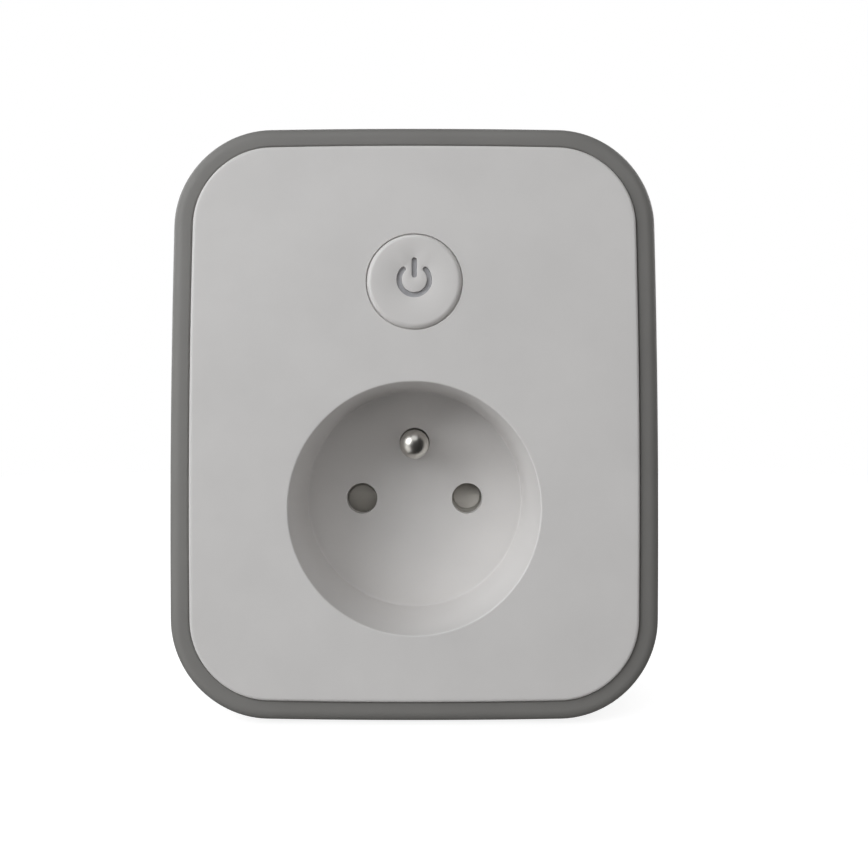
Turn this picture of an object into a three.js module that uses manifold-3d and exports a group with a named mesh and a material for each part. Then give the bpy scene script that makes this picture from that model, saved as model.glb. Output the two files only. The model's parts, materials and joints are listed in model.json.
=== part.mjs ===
// A plug-in power meter: a switched, metering adapter that plugs into a recessed wall outlet and offers a
// recessed round-pin socket with a standing earth pin at the front.
//
// Millimetres. The origin is on the plug's axis, in the plug's end face, which seats on the floor of the wall
// outlet. +Y points into the wall, so the front is at negative Y. +X is to the right of someone facing the
// front. +Z is up.

import * as THREE from "three";
import { mergeVertices } from "three/addons/utils/BufferGeometryUtils.js";
import Module from "manifold-3d";

const wasm = await Module();
wasm.setup();

// ---------------------------------------------------------------------------------------------------
// Driving dimensions
// ---------------------------------------------------------------------------------------------------

const CASE = { width: 79.2, height: 96.1, corner: 15.5, crown: 0.6, depth: 38, rise: 13.8 };
const PLATE = { width: 71.9, height: 88.8, corner: 12.2, crown: 0.6, thickness: 2.2, proud: 0.9 };
const PLUG = { length: 15.5, radius: 18.4, endWall: 3, wall: 1.8 };
const WELL = { mouthRadius: 20.05, floorRadius: 19.4, depth: 16, wall: 1.8, floor: 2.5 };
const PIN = { radius: 2.4, offset: 9.5, reach: 19, earthReach: 14, earthRise: 10, holeRadius: 2.75 };
const BUTTON = { rise: 36.1, radius: 7.6, edge: 0.8, gap: 0.2, proud: 0.5 };
const SYMBOL = {
  rise: 0.22, radius: 2.42, stroke: 0.85, gapAngle: 0.82, barLow: 0.3, barHigh: 3.54, steps: 6,
};
const SHUTTER = { radius: 13.4, hub: 4.6, halfAngle: 0.332, openAngle: 0.602, thickness: 3 };
const SCREW_PLACE = { x: 28, z: 36.5 };
const FRAME_WALL = 2.4;
const CLEARANCE = 0.3;
const PAST = 1; // how far a cutting tool runs past the face that it cuts through
const BITE = 0.1; // how far two joined solids run into each other

const REAR = -PLUG.length; // outside of the rear cover, which rests on the outlet's front
const FRONT = REAR - CASE.depth; // outside of the front plate
const FRAME_FRONT = FRONT + PLATE.proud;
const WELL_FLOOR = FRONT + WELL.depth;
const WELL_BACK = WELL_FLOOR + WELL.floor;
const REAR_INSIDE = REAR - 2; // inner face of the rear cover's plate
const POST_END = -21.3; // where the front cover's screw posts stop
const SCREW_SEAT = -19.2; // underside of the case screws' heads
const SHUTTER_FRONT = WELL_BACK + 0.5;
const SHUTTER_BACK = SHUTTER_FRONT + SHUTTER.thickness;
const BLOCK_FRONT = WELL_BACK + 0.2;
const BLOCK_BACK = -19.6;
const BOARD_FRONT = -22;
const BOARD_BACK = -20.4;
const COMPONENT_SEAT = BOARD_FRONT - 0.2; // components stand on the board's front with this small gap
const BAR_FRONT = -19.3; // the flat run of the strips between the contact block and the rear cover
const BAR_BACK = -18.5;

// ---------------------------------------------------------------------------------------------------
// Materials
// ---------------------------------------------------------------------------------------------------

const finish = (color, roughness, metalness = 0) =>
  new THREE.MeshStandardMaterial({ color, roughness, metalness });
const WHITE_SHELL = finish(0xdddcda, 0.5);
const GREY_SHELL = finish(0x8a8885, 0.7);
const WHITE_LINER = finish(0xe6e5e0, 0.55);
const SHUTTER_GREY = finish(0xa09d95, 0.6);
const CLEAR_GUIDE = finish(0xb9b9c0, 0.35);
const NICKEL = finish(0xc9c7c0, 0.22, 1);
const BRASS = finish(0xc8a860, 0.35, 1);
const STEEL = finish(0xb8bbbe, 0.35, 1);
const ZINC = finish(0xa9adb0, 0.4, 1);
const BOARD_GREEN = finish(0x1f6b3a, 0.45);
const RELAY_BLACK = finish(0x23262b, 0.5);
const BLUE_CASE = finish(0x2c58a8, 0.5);
const YELLOW_CASE = finish(0xd9b43a, 0.5);
const CAN_BLACK = finish(0x1b1c20, 0.4);
const FERRITE = finish(0x33343a, 0.75);
const TAPE_YELLOW = finish(0xe0c24a, 0.5);
const COPPER = finish(0xb8683a, 0.35, 1);
const CHIP_BLACK = finish(0x18191c, 0.6);
const RESISTOR_GREEN = finish(0x6f8f7f, 0.6);
const LED_LENS = finish(0xf2f1e6, 0.3);

// ---------------------------------------------------------------------------------------------------
// Shape helpers
// ---------------------------------------------------------------------------------------------------

// A closed geometry as a manifold solid, for joining and cutting.
function solid(geometry) {
  const bare = geometry.index ? geometry.toNonIndexed() : geometry.clone();
  bare.deleteAttribute("normal");
  bare.deleteAttribute("uv");
  const merged = mergeVertices(bare, 1e-4);
  const corners = merged.index.array;
  const kept = [];
  for (let i = 0; i < corners.length; i += 3) {
    const [a, b, c] = corners.subarray(i, i + 3);
    if (a !== b && b !== c && c !== a) kept.push(a, b, c);
  }
  const vertProperties = merged.attributes.position.array;
  return new wasm.Manifold(new wasm.Mesh({ numProp: 3, vertProperties, triVerts: new Uint32Array(kept) }));
}

const join = (...pieces) => pieces.reduce((sum, piece) => sum.add(piece));
const cut = (body, ...tools) => tools.reduce((left, tool) => left.subtract(tool), body);

// A named mesh from a manifold solid.
function mesh(name, body, material) {
  const made = body.getMesh();
  const positions = new Float32Array(made.numVert * 3);
  for (let i = 0; i < made.numVert; i++) {
    positions.set(made.vertProperties.subarray(i * made.numProp, i * made.numProp + 3), i * 3);
  }
  const geometry = new THREE.BufferGeometry();
  geometry.setAttribute("position", new THREE.BufferAttribute(positions, 3));
  geometry.setIndex(new THREE.BufferAttribute(made.triVerts, 1));
  geometry.computeVertexNormals();
  const found = new THREE.Mesh(geometry, material);
  found.name = name;
  return found;
}

// A block between two corners.
function block([x0, x1], [y0, y1], [z0, z1]) {
  const geometry = new THREE.BoxGeometry(x1 - x0, y1 - y0, z1 - z0);
  return solid(geometry.translate((x0 + x1) / 2, (y0 + y1) / 2, (z0 + z1) / 2));
}

// A body turned about an axis parallel to Y: the profile is a list of [radius, y], from front to back.
function turned(profile, segments = 24, x = 0, z = 0) {
  const points = profile.map(([radius, y]) => new THREE.Vector2(radius, y));
  return solid(new THREE.LatheGeometry(points, segments).translate(x, 0, z));
}

// A round bar or hole along Y.
const rod = (radius, y0, y1, segments = 24, x = 0, z = 0) =>
  turned([[0, y0], [radius, y0], [radius, y1], [0, y1]], segments, x, z);

// A flat outline, drawn with x to the right and z up, given a thickness from y0 to y1.
function slab(shape, y0, y1, curveSegments = 12) {
  const geometry = new THREE.ExtrudeGeometry(shape, { depth: y1 - y0, bevelEnabled: false, curveSegments });
  return solid(geometry.rotateX(Math.PI / 2).translate(0, y1, 0));
}

// A flat outline in the x and y plane, given a width along z that is centred on z.
function strip(shape, width, z, curveSegments = 6) {
  const geometry = new THREE.ExtrudeGeometry(shape, { depth: width, bevelEnabled: false, curveSegments });
  return solid(geometry.translate(0, 0, z - width / 2));
}

// A flat outline, drawn with y to the right and z up, given a width along x from x0.
function acrossX(shape, width, x0) {
  const geometry = new THREE.ExtrudeGeometry(shape, { depth: width, bevelEnabled: false });
  return geometry.applyMatrix4(new THREE.Matrix4().set(0, 0, 1, x0, 1, 0, 0, 0, 0, 1, 0, 0, 0, 0, 0, 1));
}

// The outline of sheet metal bent along a line of points: the line is offset by half the thickness on both
// sides, with mitred corners.
function bentSheet(points, thickness) {
  const line = points.map(([x, y]) => new THREE.Vector2(x, y));
  const direction = (i) => line[i + 1].clone().sub(line[i]).normalize();
  const offset = line.map((_, i) => {
    const before = direction(Math.max(i - 1, 0));
    const after = direction(Math.min(i, line.length - 2));
    const across = new THREE.Vector2(-before.y - after.y, before.x + after.x).normalize();
    const mitre = across.dot(new THREE.Vector2(-after.y, after.x));
    return across.multiplyScalar(thickness / 2 / mitre);
  });
  const left = line.map((p, i) => p.clone().add(offset[i]));
  const right = line.map((p, i) => p.clone().sub(offset[i])).reverse();
  return new THREE.Shape([...left, ...right]);
}

// A rectangle with round corners, x to the right and z up.
function roundedRectangle(width, height, corner, x = 0, z = 0) {
  const [w, h] = [width / 2 - corner, height / 2 - corner];
  const shape = new THREE.Shape();
  [[w, h], [-w, h], [-w, -h], [w, -h]].forEach(([cx, cz], quarter) => {
    const start = (quarter * Math.PI) / 2;
    shape.absarc(x + cx, z + cz, corner, start, start + Math.PI / 2, false);
  });
  return shape;
}

// Points round the case's outline, moved inwards by inset. The corners are round, and the sides bulge by the
// outline's crown: each point moves outwards by a share that falls off as the square of its place along its
// side.
function outlineLoop({ width, height, corner, crown }, inset) {
  const CORNER_STEPS = 7;
  const SIDE_STEPS = 2;
  const [halfWidth, halfHeight] = [width / 2 - crown, height / 2 - crown];
  const radius = corner - inset;
  const corners = [[1, 1], [-1, 1], [-1, -1], [1, -1]].map(([sx, sz], quarter) => {
    const cx = sx * (halfWidth - corner);
    const cz = sz * (halfHeight - corner);
    return Array.from({ length: CORNER_STEPS + 1 }, (_, i) => {
      const angle = ((quarter + i / CORNER_STEPS) * Math.PI) / 2;
      return [cx + radius * Math.cos(angle), cz + radius * Math.sin(angle)];
    });
  });
  const loop = corners.flatMap((points, quarter) => {
    const from = points[CORNER_STEPS];
    const to = corners[(quarter + 1) % 4][0];
    const side = Array.from({ length: SIDE_STEPS - 1 }, (_, i) => {
      const t = (i + 1) / SIDE_STEPS;
      return [from[0] + t * (to[0] - from[0]), from[1] + t * (to[1] - from[1])];
    });
    return [...points, ...side];
  });
  return loop.map(([x, z]) => [
    x * (1 + (crown / halfWidth) * (1 - (z / halfHeight) ** 2)),
    z * (1 + (crown / halfHeight) * (1 - (x / halfWidth) ** 2)),
  ]);
}

// A closed body whose sections are the case's outline: stations is a list of [inset, y], from front to back.
function stack(outline, stations) {
  const loops = stations.map(([inset, y]) =>
    outlineLoop(outline, inset).map(([x, z]) => [x, y, z + CASE.rise]),
  );
  const count = loops[0].length;
  const positions = loops.flat(2);
  positions.push(0, stations[0][1], CASE.rise, 0, stations.at(-1)[1], CASE.rise);
  const frontCentre = loops.length * count;
  const faces = [];
  for (let i = 0; i < count; i++) {
    const next = (i + 1) % count;
    for (let k = 0; k + 1 < loops.length; k++) {
      const [a, b, c, d] = [k * count + i, k * count + next, (k + 1) * count + next, (k + 1) * count + i];
      faces.push(a, c, b, a, d, c);
    }
    const last = (loops.length - 1) * count;
    faces.push(frontCentre, i, next, frontCentre + 1, last + next, last + i);
  }
  const geometry = new THREE.BufferGeometry();
  geometry.setAttribute("position", new THREE.Float32BufferAttribute(positions, 3));
  geometry.setIndex(faces);
  return solid(geometry);
}

// The sheet of a circle between two angles, measured from +X towards +Z.
function sector(inner, outer, from, to) {
  const shape = new THREE.Shape();
  shape.absarc(0, 0, outer, from, to, false);
  shape.absarc(0, 0, inner, to, from, true);
  return shape;
}

// The same thing at the four case screws: the function takes the x and z of each.
const atCaseScrews = (make) =>
  [[1, 1], [-1, 1], [-1, -1], [1, -1]].map(([sx, sz]) =>
    make(sx * SCREW_PLACE.x, CASE.rise + sz * SCREW_PLACE.z),
  );

// The same thing on the left and on the right, or below and above: the function takes -1 and then 1.
const onBothSides = (make) => [-1, 1].map(make);

// ---------------------------------------------------------------------------------------------------
// Shells
// ---------------------------------------------------------------------------------------------------

const BOARD_STAKE = { x: 11.5, shoulder: -45.3, back: -43.2, radius: 1.1, shoulderRadius: 2.2 };
const BLOCK_POST = { x: 25, radius: 2.6, pilotRadius: 1.4, pilotEnd: -43 };
const CASE_POST = { radius: 3.5, pilotRadius: 1.8, pilotDepth: 11 };
const COLLAR = { radius: 9.6, depth: 4 };
const SKIRT = { inset: 0.3, innerInset: 1.9, back: FRONT + 6, flangeFront: FRONT + 4.2 };
const EARTH_HOLE_RADIUS = 2.7;

// The white front: a plate with a soft edge, the socket's well, the button's collar and four screw posts.
function frontCover() {
  const plateBack = FRONT + PLATE.thickness;
  const plate = stack(PLATE, [[0.6, FRONT], [0.18, FRONT + 0.18], [0, FRONT + 0.6], [0, plateBack]]);
  const skirt = cut(
    stack(PLATE, [[SKIRT.inset, plateBack - BITE], [SKIRT.inset, SKIRT.back]]),
    stack(PLATE, [[SKIRT.innerInset, plateBack - 2 * BITE], [SKIRT.innerInset, SKIRT.back + PAST]]),
  );
  const flangeInset = FRAME_WALL + CLEARANCE;
  const flange = cut(
    stack(CASE, [[flangeInset, SKIRT.flangeFront], [flangeInset, SKIRT.back]]),
    stack(PLATE, [[SKIRT.innerInset, SKIRT.flangeFront - PAST], [SKIRT.innerInset, SKIRT.back + PAST]]),
  );
  const wellOutside = turned(
    [[0, plateBack - BITE], [WELL.mouthRadius + WELL.wall, plateBack - BITE],
      [WELL.floorRadius + WELL.wall, WELL_BACK], [0, WELL_BACK]],
    40,
  );
  const wellInside = turned(
    [[0, FRONT - PAST], [WELL.mouthRadius + 0.55, FRONT - PAST], [WELL.mouthRadius + 0.5, FRONT],
      [WELL.mouthRadius, FRONT + 0.5], [WELL.floorRadius, WELL_FLOOR], [0, WELL_FLOOR]],
    40,
  );
  const collar = rod(COLLAR.radius, plateBack - BITE, FRONT + COLLAR.depth, 24, 0, BUTTON.rise);
  const opening = rod(BUTTON.radius + BUTTON.gap, FRONT - PAST, FRONT + 5, 28, 0, BUTTON.rise);
  const posts = atCaseScrews((x, z) => rod(CASE_POST.radius, plateBack - BITE, POST_END, 12, x, z));
  const pilots = atCaseScrews((x, z) =>
    rod(CASE_POST.pilotRadius, POST_END - CASE_POST.pilotDepth, POST_END + PAST, 8, x, z),
  );
  const blockPosts = onBothSides((s) =>
    rod(BLOCK_POST.radius, plateBack - BITE, WELL_BACK, 14, s * BLOCK_POST.x),
  );
  const blockPilots = onBothSides((s) =>
    rod(BLOCK_POST.pilotRadius, BLOCK_POST.pilotEnd, WELL_BACK + PAST, 8, s * BLOCK_POST.x),
  );
  const { shoulder, shoulderRadius, radius: stakeRadius } = BOARD_STAKE;
  const stakes = onBothSides((s) =>
    turned(
      [[0, plateBack - BITE], [shoulderRadius, plateBack - BITE], [shoulderRadius, shoulder],
        [stakeRadius, shoulder], [stakeRadius, BOARD_STAKE.back], [0, BOARD_STAKE.back]],
      14, s * BOARD_STAKE.x, BUTTON.rise,
    ),
  );
  const pinHoles = onBothSides((s) =>
    rod(PIN.holeRadius, WELL_FLOOR - PAST, WELL_BACK + PAST, 20, s * PIN.offset, 0),
  );
  const earthHole = rod(EARTH_HOLE_RADIUS, WELL_FLOOR - PAST, WELL_BACK + PAST, 20, 0, PIN.earthRise);
  const body = join(plate, skirt, flange, wellOutside, collar, ...posts, ...blockPosts, ...stakes);
  return mesh(
    "front_cover",
    cut(body, wellInside, opening, ...pilots, ...blockPilots, ...pinHoles, earthHole),
    WHITE_SHELL,
  );
}

const FRAME_BACK = -19;
const WINDOW_GAP = 0.2; // between the plate's edge and the lip round it
const LEDGE_DEPTH = 3.9; // from the plate's face to the back of the lip

// The grey band round the sides, with a rounded front lip that the plate stands in.
function sideFrame() {
  const outside = stack(CASE, [
    [2.1, FRAME_FRONT], [1.0, FRAME_FRONT + 0.3], [0.3, FRAME_FRONT + 1], [0, FRAME_FRONT + 2.1],
    [0.35, FRAME_BACK],
  ]);
  const window = stack(PLATE, [[-WINDOW_GAP, FRONT - PAST], [-WINDOW_GAP, FRONT + 5]]);
  const hollow = stack(CASE, [[FRAME_WALL, FRONT + LEDGE_DEPTH], [FRAME_WALL, FRAME_BACK + PAST]]);
  return mesh("side_frame", cut(outside, window, hollow), GREY_SHELL);
}

const PLATE_RECESS = { width: 44, height: 11.5, corner: 1.5, depth: 0.4, z: 27.5 };
const VENT = {
  length: 15, width: 1.5, pitch: 3.2, gap: 4, upperRows: 4, upperZ: 40, lowerRows: 2, lowerZ: -24,
};

// The slots that let warm air out, as one tool: rows of short slots left and right of the middle.
function ventSlots() {
  const { length, width, pitch, gap, upperRows, upperZ, lowerRows, lowerZ } = VENT;
  const rows = [
    ...Array.from({ length: upperRows }, (_, i) => upperZ + i * pitch),
    ...Array.from({ length: lowerRows }, (_, i) => lowerZ - i * pitch),
  ];
  return rows.flatMap((z) =>
    onBothSides((s) => {
      const shape = roundedRectangle(length, width, width / 2 - 0.01, (s * (length + gap)) / 2, z);
      return slab(shape, REAR_INSIDE - 4, REAR + PAST, 2);
    }),
  );
}

const BOSS_NOTCH = { half: 2.75, floor: 16.2 };
const BOSS_GROOVE = { half: 4, floor: 16.6 };
const STRAP_SLOT = { half: 3.6, middle: 17.2, width: 1.2 };
const CARRIER_POST_RADIUS = 2.6;

// A block from a distance out to past the boss's edge, on the side that s gives.
const beyond = (floor, s) => (s > 0 ? [floor, PLUG.radius + 2] : [-PLUG.radius - 2, -floor]);

// The rear cover: a shallow tray with a locating lip, sockets for the case screws and the plug's hollow boss.
// The boss has a guide notch on each side and a flat groove above and below for the earth strap.
function rearCover() {
  const trayFront = FRAME_BACK + CLEARANCE;
  const tray = stack(CASE, [[0.35, trayFront], [0.35, -17.4], [0.9, -16.3], [1.9, -15.65], [2.6, REAR]]);
  const inside = stack(CASE, [[2.7, FRAME_BACK - PAST], [2.7, REAR_INSIDE]]);
  const lipInset = FRAME_WALL + CLEARANCE;
  const lipInnerInset = FRAME_WALL + 1.6;
  const lipFront = FRAME_BACK - 2.6;
  const lip = cut(
    stack(CASE, [[lipInset, lipFront], [lipInset, REAR_INSIDE + BITE]]),
    stack(CASE, [[lipInnerInset, lipFront - PAST], [lipInnerInset, REAR_INSIDE + 2 * BITE]]),
  );
  const socketFront = POST_END + CLEARANCE;
  const screwSockets = atCaseScrews((x, z) => rod(4.7, socketFront, REAR_INSIDE + BITE, 12, x, z));
  const screwBores = atCaseScrews((x, z) => rod(3.4, SCREW_SEAT - 0.1, REAR + PAST, 12, x, z));
  const screwHoles = atCaseScrews((x, z) => rod(1.7, POST_END - PAST, REAR + PAST, 8, x, z));
  const boardPosts = BOARD_SCREWS.map(([x, z]) => rod(2.8, BOARD_BACK + 0.2, REAR_INSIDE + BITE, 14, x, z));
  const boardPilots = BOARD_SCREWS.map(([x, z]) => rod(1.4, BOARD_BACK - PAST, REAR_INSIDE + 0.6, 8, x, z));
  const recess = slab(
    roundedRectangle(PLATE_RECESS.width, PLATE_RECESS.height, PLATE_RECESS.corner, 0, PLATE_RECESS.z),
    REAR - PLATE_RECESS.depth, REAR + PAST, 4,
  );

  const boss = turned(
    [[0, REAR - BITE], [PLUG.radius, REAR - BITE], [PLUG.radius, -0.8], [PLUG.radius - 0.8, 0], [0, 0]],
    40,
  );
  const notches = onBothSides((s) =>
    block(beyond(BOSS_NOTCH.floor, s), [REAR, PAST], [-BOSS_NOTCH.half, BOSS_NOTCH.half]),
  );
  const grooves = onBothSides((s) =>
    block([-BOSS_GROOVE.half, BOSS_GROOVE.half], [REAR, PAST], beyond(BOSS_GROOVE.floor, s)),
  );
  const strapSlots = onBothSides((s) => {
    const [middle, half] = [s * STRAP_SLOT.middle, STRAP_SLOT.width / 2];
    return block([-STRAP_SLOT.half, STRAP_SLOT.half], [-22, REAR + PAST], [middle - half, middle + half]);
  });
  const cavity = cut(
    rod(PLUG.radius - PLUG.wall, REAR - 5, -PLUG.endWall, 32),
    ...onBothSides((s) => block(beyond(14.4, s), [-30, PAST], [-4.6, 4.6])),
    ...onBothSides((s) => block([-5.8, 5.8], [-30, PAST], beyond(14.8, s))),
  );
  const carrierPosts = CARRIER_SCREWS.map(([x, z]) =>
    rod(CARRIER_POST_RADIUS, CARRIER_BACK_SIDE + 0.2, -PLUG.endWall + BITE, 14, x, z),
  );
  const carrierPilots = CARRIER_SCREWS.map(([x, z]) => rod(1.4, -9, -1.6, 8, x, z));
  const pinHoles = onBothSides((s) =>
    rod(PIN.radius + 0.15, -PLUG.endWall - PAST, PAST, 18, s * PIN.offset, 0),
  );
  const earthHole = rod(EARTH_BORE_RADIUS, -PLUG.endWall - PAST, PAST, 20, 0, PIN.earthRise);

  const shell = join(cut(tray, inside), lip, ...screwSockets, ...boardPosts, boss);
  const opened = cut(shell, cavity, recess, ...ventSlots(), ...notches, ...grooves, ...strapSlots);
  const bored = cut(opened, ...screwBores, ...screwHoles, ...boardPilots, ...pinHoles, earthHole);
  return mesh("rear_cover", cut(join(bored, ...carrierPosts), ...carrierPilots), WHITE_SHELL);
}

// A pan-head screw along Y, pointing forwards (s = -1) or backwards (s = 1), with a cross recess in its head.
function screw(name, x, z, seat, s, { head, headRadius, shank, shankRadius }, material) {
  const profile = [
    [0, seat - s * head], [headRadius * 0.7, seat - s * head], [headRadius, seat - s * head * 0.55],
    [headRadius, seat], [shankRadius, seat], [shankRadius, seat + s * (shank - shankRadius)],
    [0, seat + s * shank],
  ];
  const body = turned(s > 0 ? profile : profile.reverse(), 8, x, z);
  const arm = headRadius * 0.55;
  const depth = [seat - s * (head + 0.2), seat - s * head * 0.4].sort((a, b) => a - b);
  const cross = join(
    block([x - arm, x + arm], depth, [z - 0.3, z + 0.3]),
    block([x - 0.3, x + 0.3], depth, [z - arm, z + arm]),
  );
  return mesh(name, cut(body, cross), material);
}

const CASE_SCREW = { head: 2.2, headRadius: 2.8, shank: 12.5, shankRadius: 1.4 };
const SMALL_SCREW = { head: 1.6, headRadius: 2.2, shank: 6.5, shankRadius: 1.1 };
const CARRIER_SCREW = { ...SMALL_SCREW, shank: 11 };
const SHORT_SCREW = { head: 1.5, headRadius: 2.1, shank: 4.2, shankRadius: 1.05 };

const caseScrews = () =>
  atCaseScrews((x, z) => [x, z]).map(([x, z], i) =>
    screw(`case_screw_${i + 1}`, x, z, SCREW_SEAT, -1, CASE_SCREW, ZINC),
  );

// ---------------------------------------------------------------------------------------------------
// Power button
// ---------------------------------------------------------------------------------------------------

// The outline of the on and off symbol: an open ring and, above its middle, a short bar. Both have round
// ends.
function symbolShapes(stroke) {
  const { rise, radius, gapAngle, barLow, barHigh } = SYMBOL;
  const z = BUTTON.rise + rise;
  const half = stroke / 2;
  const [from, to] = [Math.PI / 2 + gapAngle, Math.PI / 2 - gapAngle + 2 * Math.PI];
  const ring = new THREE.Shape();
  const roundEnd = (angle, start) =>
    ring.absarc(radius * Math.cos(angle), z + radius * Math.sin(angle), half, start, start + Math.PI, false);
  ring.absarc(0, z, radius + half, from, to, false);
  roundEnd(to, to);
  ring.absarc(0, z, radius - half, to, from, true);
  roundEnd(from, from + Math.PI);
  const barLength = barHigh - barLow - (SYMBOL.stroke - stroke);
  const bar = roundedRectangle(stroke, barLength, half - 0.01, 0, z + (barHigh + barLow) / 2);
  return [ring, bar];
}

const CAP = {
  front: FRONT - BUTTON.proud, web: FRONT + 1.2, flange: FRONT + 4.2, back: FRONT + 5.2, flangeRadius: 8.95,
};

// The button's cap: a shallow cup with a retaining flange behind the cover's collar, pierced by the symbol.
function buttonCap() {
  const { radius, edge, rise } = BUTTON;
  const chamfer = edge * (1 - Math.SQRT1_2);
  const cup = turned(
    [[0, CAP.front], [radius - edge, CAP.front], [radius - chamfer, CAP.front + chamfer],
      [radius, CAP.front + edge], [radius, CAP.flange], [CAP.flangeRadius, CAP.flange],
      [CAP.flangeRadius, CAP.back], [0, CAP.back]],
    28, 0, rise,
  );
  const hollow = rod(6.5, CAP.web, CAP.back + 1, 20, 0, rise);
  const symbol = symbolShapes(SYMBOL.stroke).map((shape) =>
    slab(shape, CAP.front - PAST, CAP.web + PAST / 2, SYMBOL.steps),
  );
  return mesh("button_cap", cut(cup, hollow, ...symbol), WHITE_SHELL);
}

// The clear moulding behind the cap: it fills the symbol, carries the lamp's light to it and presses the
// switch.
function buttonLightGuide() {
  const disc = rod(6.2, CAP.web + 0.15, CAP.web + 1.6, 20, 0, BUTTON.rise);
  const symbol = symbolShapes(SYMBOL.stroke - 0.3).map((shape) =>
    slab(shape, CAP.front + 0.45, CAP.web + 0.2, SYMBOL.steps),
  );
  const presser = rod(2, CAP.web + 1.5, PLUNGER.front - 0.05, 12, 0, BUTTON.rise);
  return mesh("button_light_guide", join(disc, presser, ...symbol), CLEAR_GUIDE);
}

const PLUNGER = { front: -49.6, back: -47.9, radius: 1.7 };
const SWITCH = { half: 3.1, front: -48.4 };
const BUTTON_BOARD = { front: -45.2, back: -44, width: 28, height: 17 };
const SCREW_CLEARANCE_RADIUS = 1.4;

function buttonBoard() {
  const outline = roundedRectangle(BUTTON_BOARD.width, BUTTON_BOARD.height, 1, 0, BUTTON.rise);
  const { front, back } = BUTTON_BOARD;
  const holes = onBothSides((s) =>
    rod(SCREW_CLEARANCE_RADIUS, front - PAST, back + PAST, 14, s * BOARD_STAKE.x, BUTTON.rise),
  );
  return mesh("button_board", cut(slab(outline, front, back, 3), ...holes), BOARD_GREEN);
}

function tactSwitch() {
  const { half, front } = SWITCH;
  const heights = [BUTTON.rise - half, BUTTON.rise + half];
  const box = block([-half, half], [front, BUTTON_BOARD.front - 0.1], heights);
  return mesh("tact_switch", cut(box, rod(1.85, front - 1, front + 1.3, 16, 0, BUTTON.rise)), STEEL);
}

const tactPlunger = () =>
  mesh("tact_plunger", rod(PLUNGER.radius, PLUNGER.front, PLUNGER.back, 16, 0, BUTTON.rise), CHIP_BLACK);

function statusLed() {
  const back = BUTTON_BOARD.front - 0.1;
  const z = BUTTON.rise;
  const base = block([4.2, 7.4], [back - 0.9, back], [z - 1.4, z + 1.4]);
  const lens = rod(1.1, back - 1.4, back - 0.8, 16, 5.8, z);
  return mesh("status_led", join(base, lens), LED_LENS);
}

// Four square pins in two plastic bars, joining the button's board to the main board.
function boardLinkHeader() {
  const [front, back, x, z, pitch] = [BUTTON_BOARD.back + 0.2, COMPONENT_SEAT, 2.5, 39.4, 2.54];
  const bars = [[front, front + 2.5], [back - 2.5, back]].map((y) =>
    block([x - 5, x + 5], y, [z - 1.2, z + 1.2]),
  );
  const pins = [-1.5, -0.5, 0.5, 1.5].map((i) =>
    block([x + i * pitch - 0.32, x + i * pitch + 0.32], [front + 1, back - 1], [z - 0.32, z + 0.32]),
  );
  return mesh("board_link_header", join(...bars, ...pins), CHIP_BLACK);
}

// ---------------------------------------------------------------------------------------------------
// Socket side: earth pin, shutter, contacts and the block that holds them
// ---------------------------------------------------------------------------------------------------

// The standing earth pin: a round-nosed pin, a flange behind the well's floor and a tail riveted to the strap.
function earthPin() {
  const tip = WELL_FLOOR - PIN.earthReach;
  const nose = Array.from({ length: 5 }, (_, i) => {
    const angle = (i / 5) * (Math.PI / 2);
    return [PIN.radius * Math.sin(angle), tip + PIN.radius * (1 - Math.cos(angle))];
  });
  const profile = [
    ...nose, [PIN.radius, tip + PIN.radius], [PIN.radius, BLOCK_FRONT + 0.1], [4, BLOCK_FRONT + 0.1],
    [4, BLOCK_FRONT + 1.6], [1.9, BLOCK_FRONT + 1.6], [1.9, -18.2], [0, -18.2],
  ];
  return mesh("earth_pin", turned(profile, 20, 0, PIN.earthRise), NICKEL);
}

// The safety shutter: a rotor whose two wings close the pin holes. Each wing has a ramp, so two pins pushed in
// together turn it clockwise. A single object only tilts it.
function shutterRotor() {
  const { radius, hub, halfAngle } = SHUTTER;
  const wings = [0, Math.PI].map((middle) =>
    slab(sector(2.5, radius, middle - halfAngle, middle + halfAngle), SHUTTER_FRONT, SHUTTER_BACK, 6),
  );
  const bore = rod(1.7, SHUTTER_FRONT - 1, SHUTTER_BACK + 1, 16);
  const ramps = [1, -1].map((s) => {
    const wedge = new THREE.Shape([
      new THREE.Vector2(SHUTTER_FRONT - 0.5, 4.8), new THREE.Vector2(SHUTTER_FRONT + 1.9, 4.8),
      new THREE.Vector2(SHUTTER_FRONT - 0.5, -2.4),
    ]);
    const geometry = acrossX(wedge, radius - 5.8, 5.9);
    return solid(s > 0 ? geometry : geometry.rotateY(Math.PI));
  });
  const disc = rod(hub, SHUTTER_FRONT, SHUTTER_BACK, 24);
  return mesh("shutter_rotor", cut(join(disc, ...wings), bore, ...ramps), SHUTTER_GREY);
}

const SPRING = { x: 8, low: -16.8, high: -3.9, radius: 1.15, wire: 0.28, turns: 7 };

// The helix of a compression spring that stands along z.
class SpringCurve extends THREE.Curve {
  getPoint(t, target = new THREE.Vector3()) {
    const { x, low, high, radius, wire, turns } = SPRING;
    const angle = t * turns * 2 * Math.PI;
    const y = (SHUTTER_FRONT + SHUTTER_BACK) / 2;
    const z = low + wire + t * (high - low - 2 * wire);
    return target.set(x + radius * Math.cos(angle), y + radius * Math.sin(angle), z);
  }
}

function shutterSpring() {
  const section = new THREE.Shape();
  section.absarc(0, 0, SPRING.wire, 0, 2 * Math.PI, false);
  const steps = SPRING.turns * 8;
  const options = { steps, extrudePath: new SpringCurve(), curveSegments: 2, bevelEnabled: false };
  return mesh("shutter_spring", solid(new THREE.ExtrudeGeometry(section, options)), STEEL);
}

const OUT_BAR_X = 13.35; // middle of the strips from the socket contacts

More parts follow.
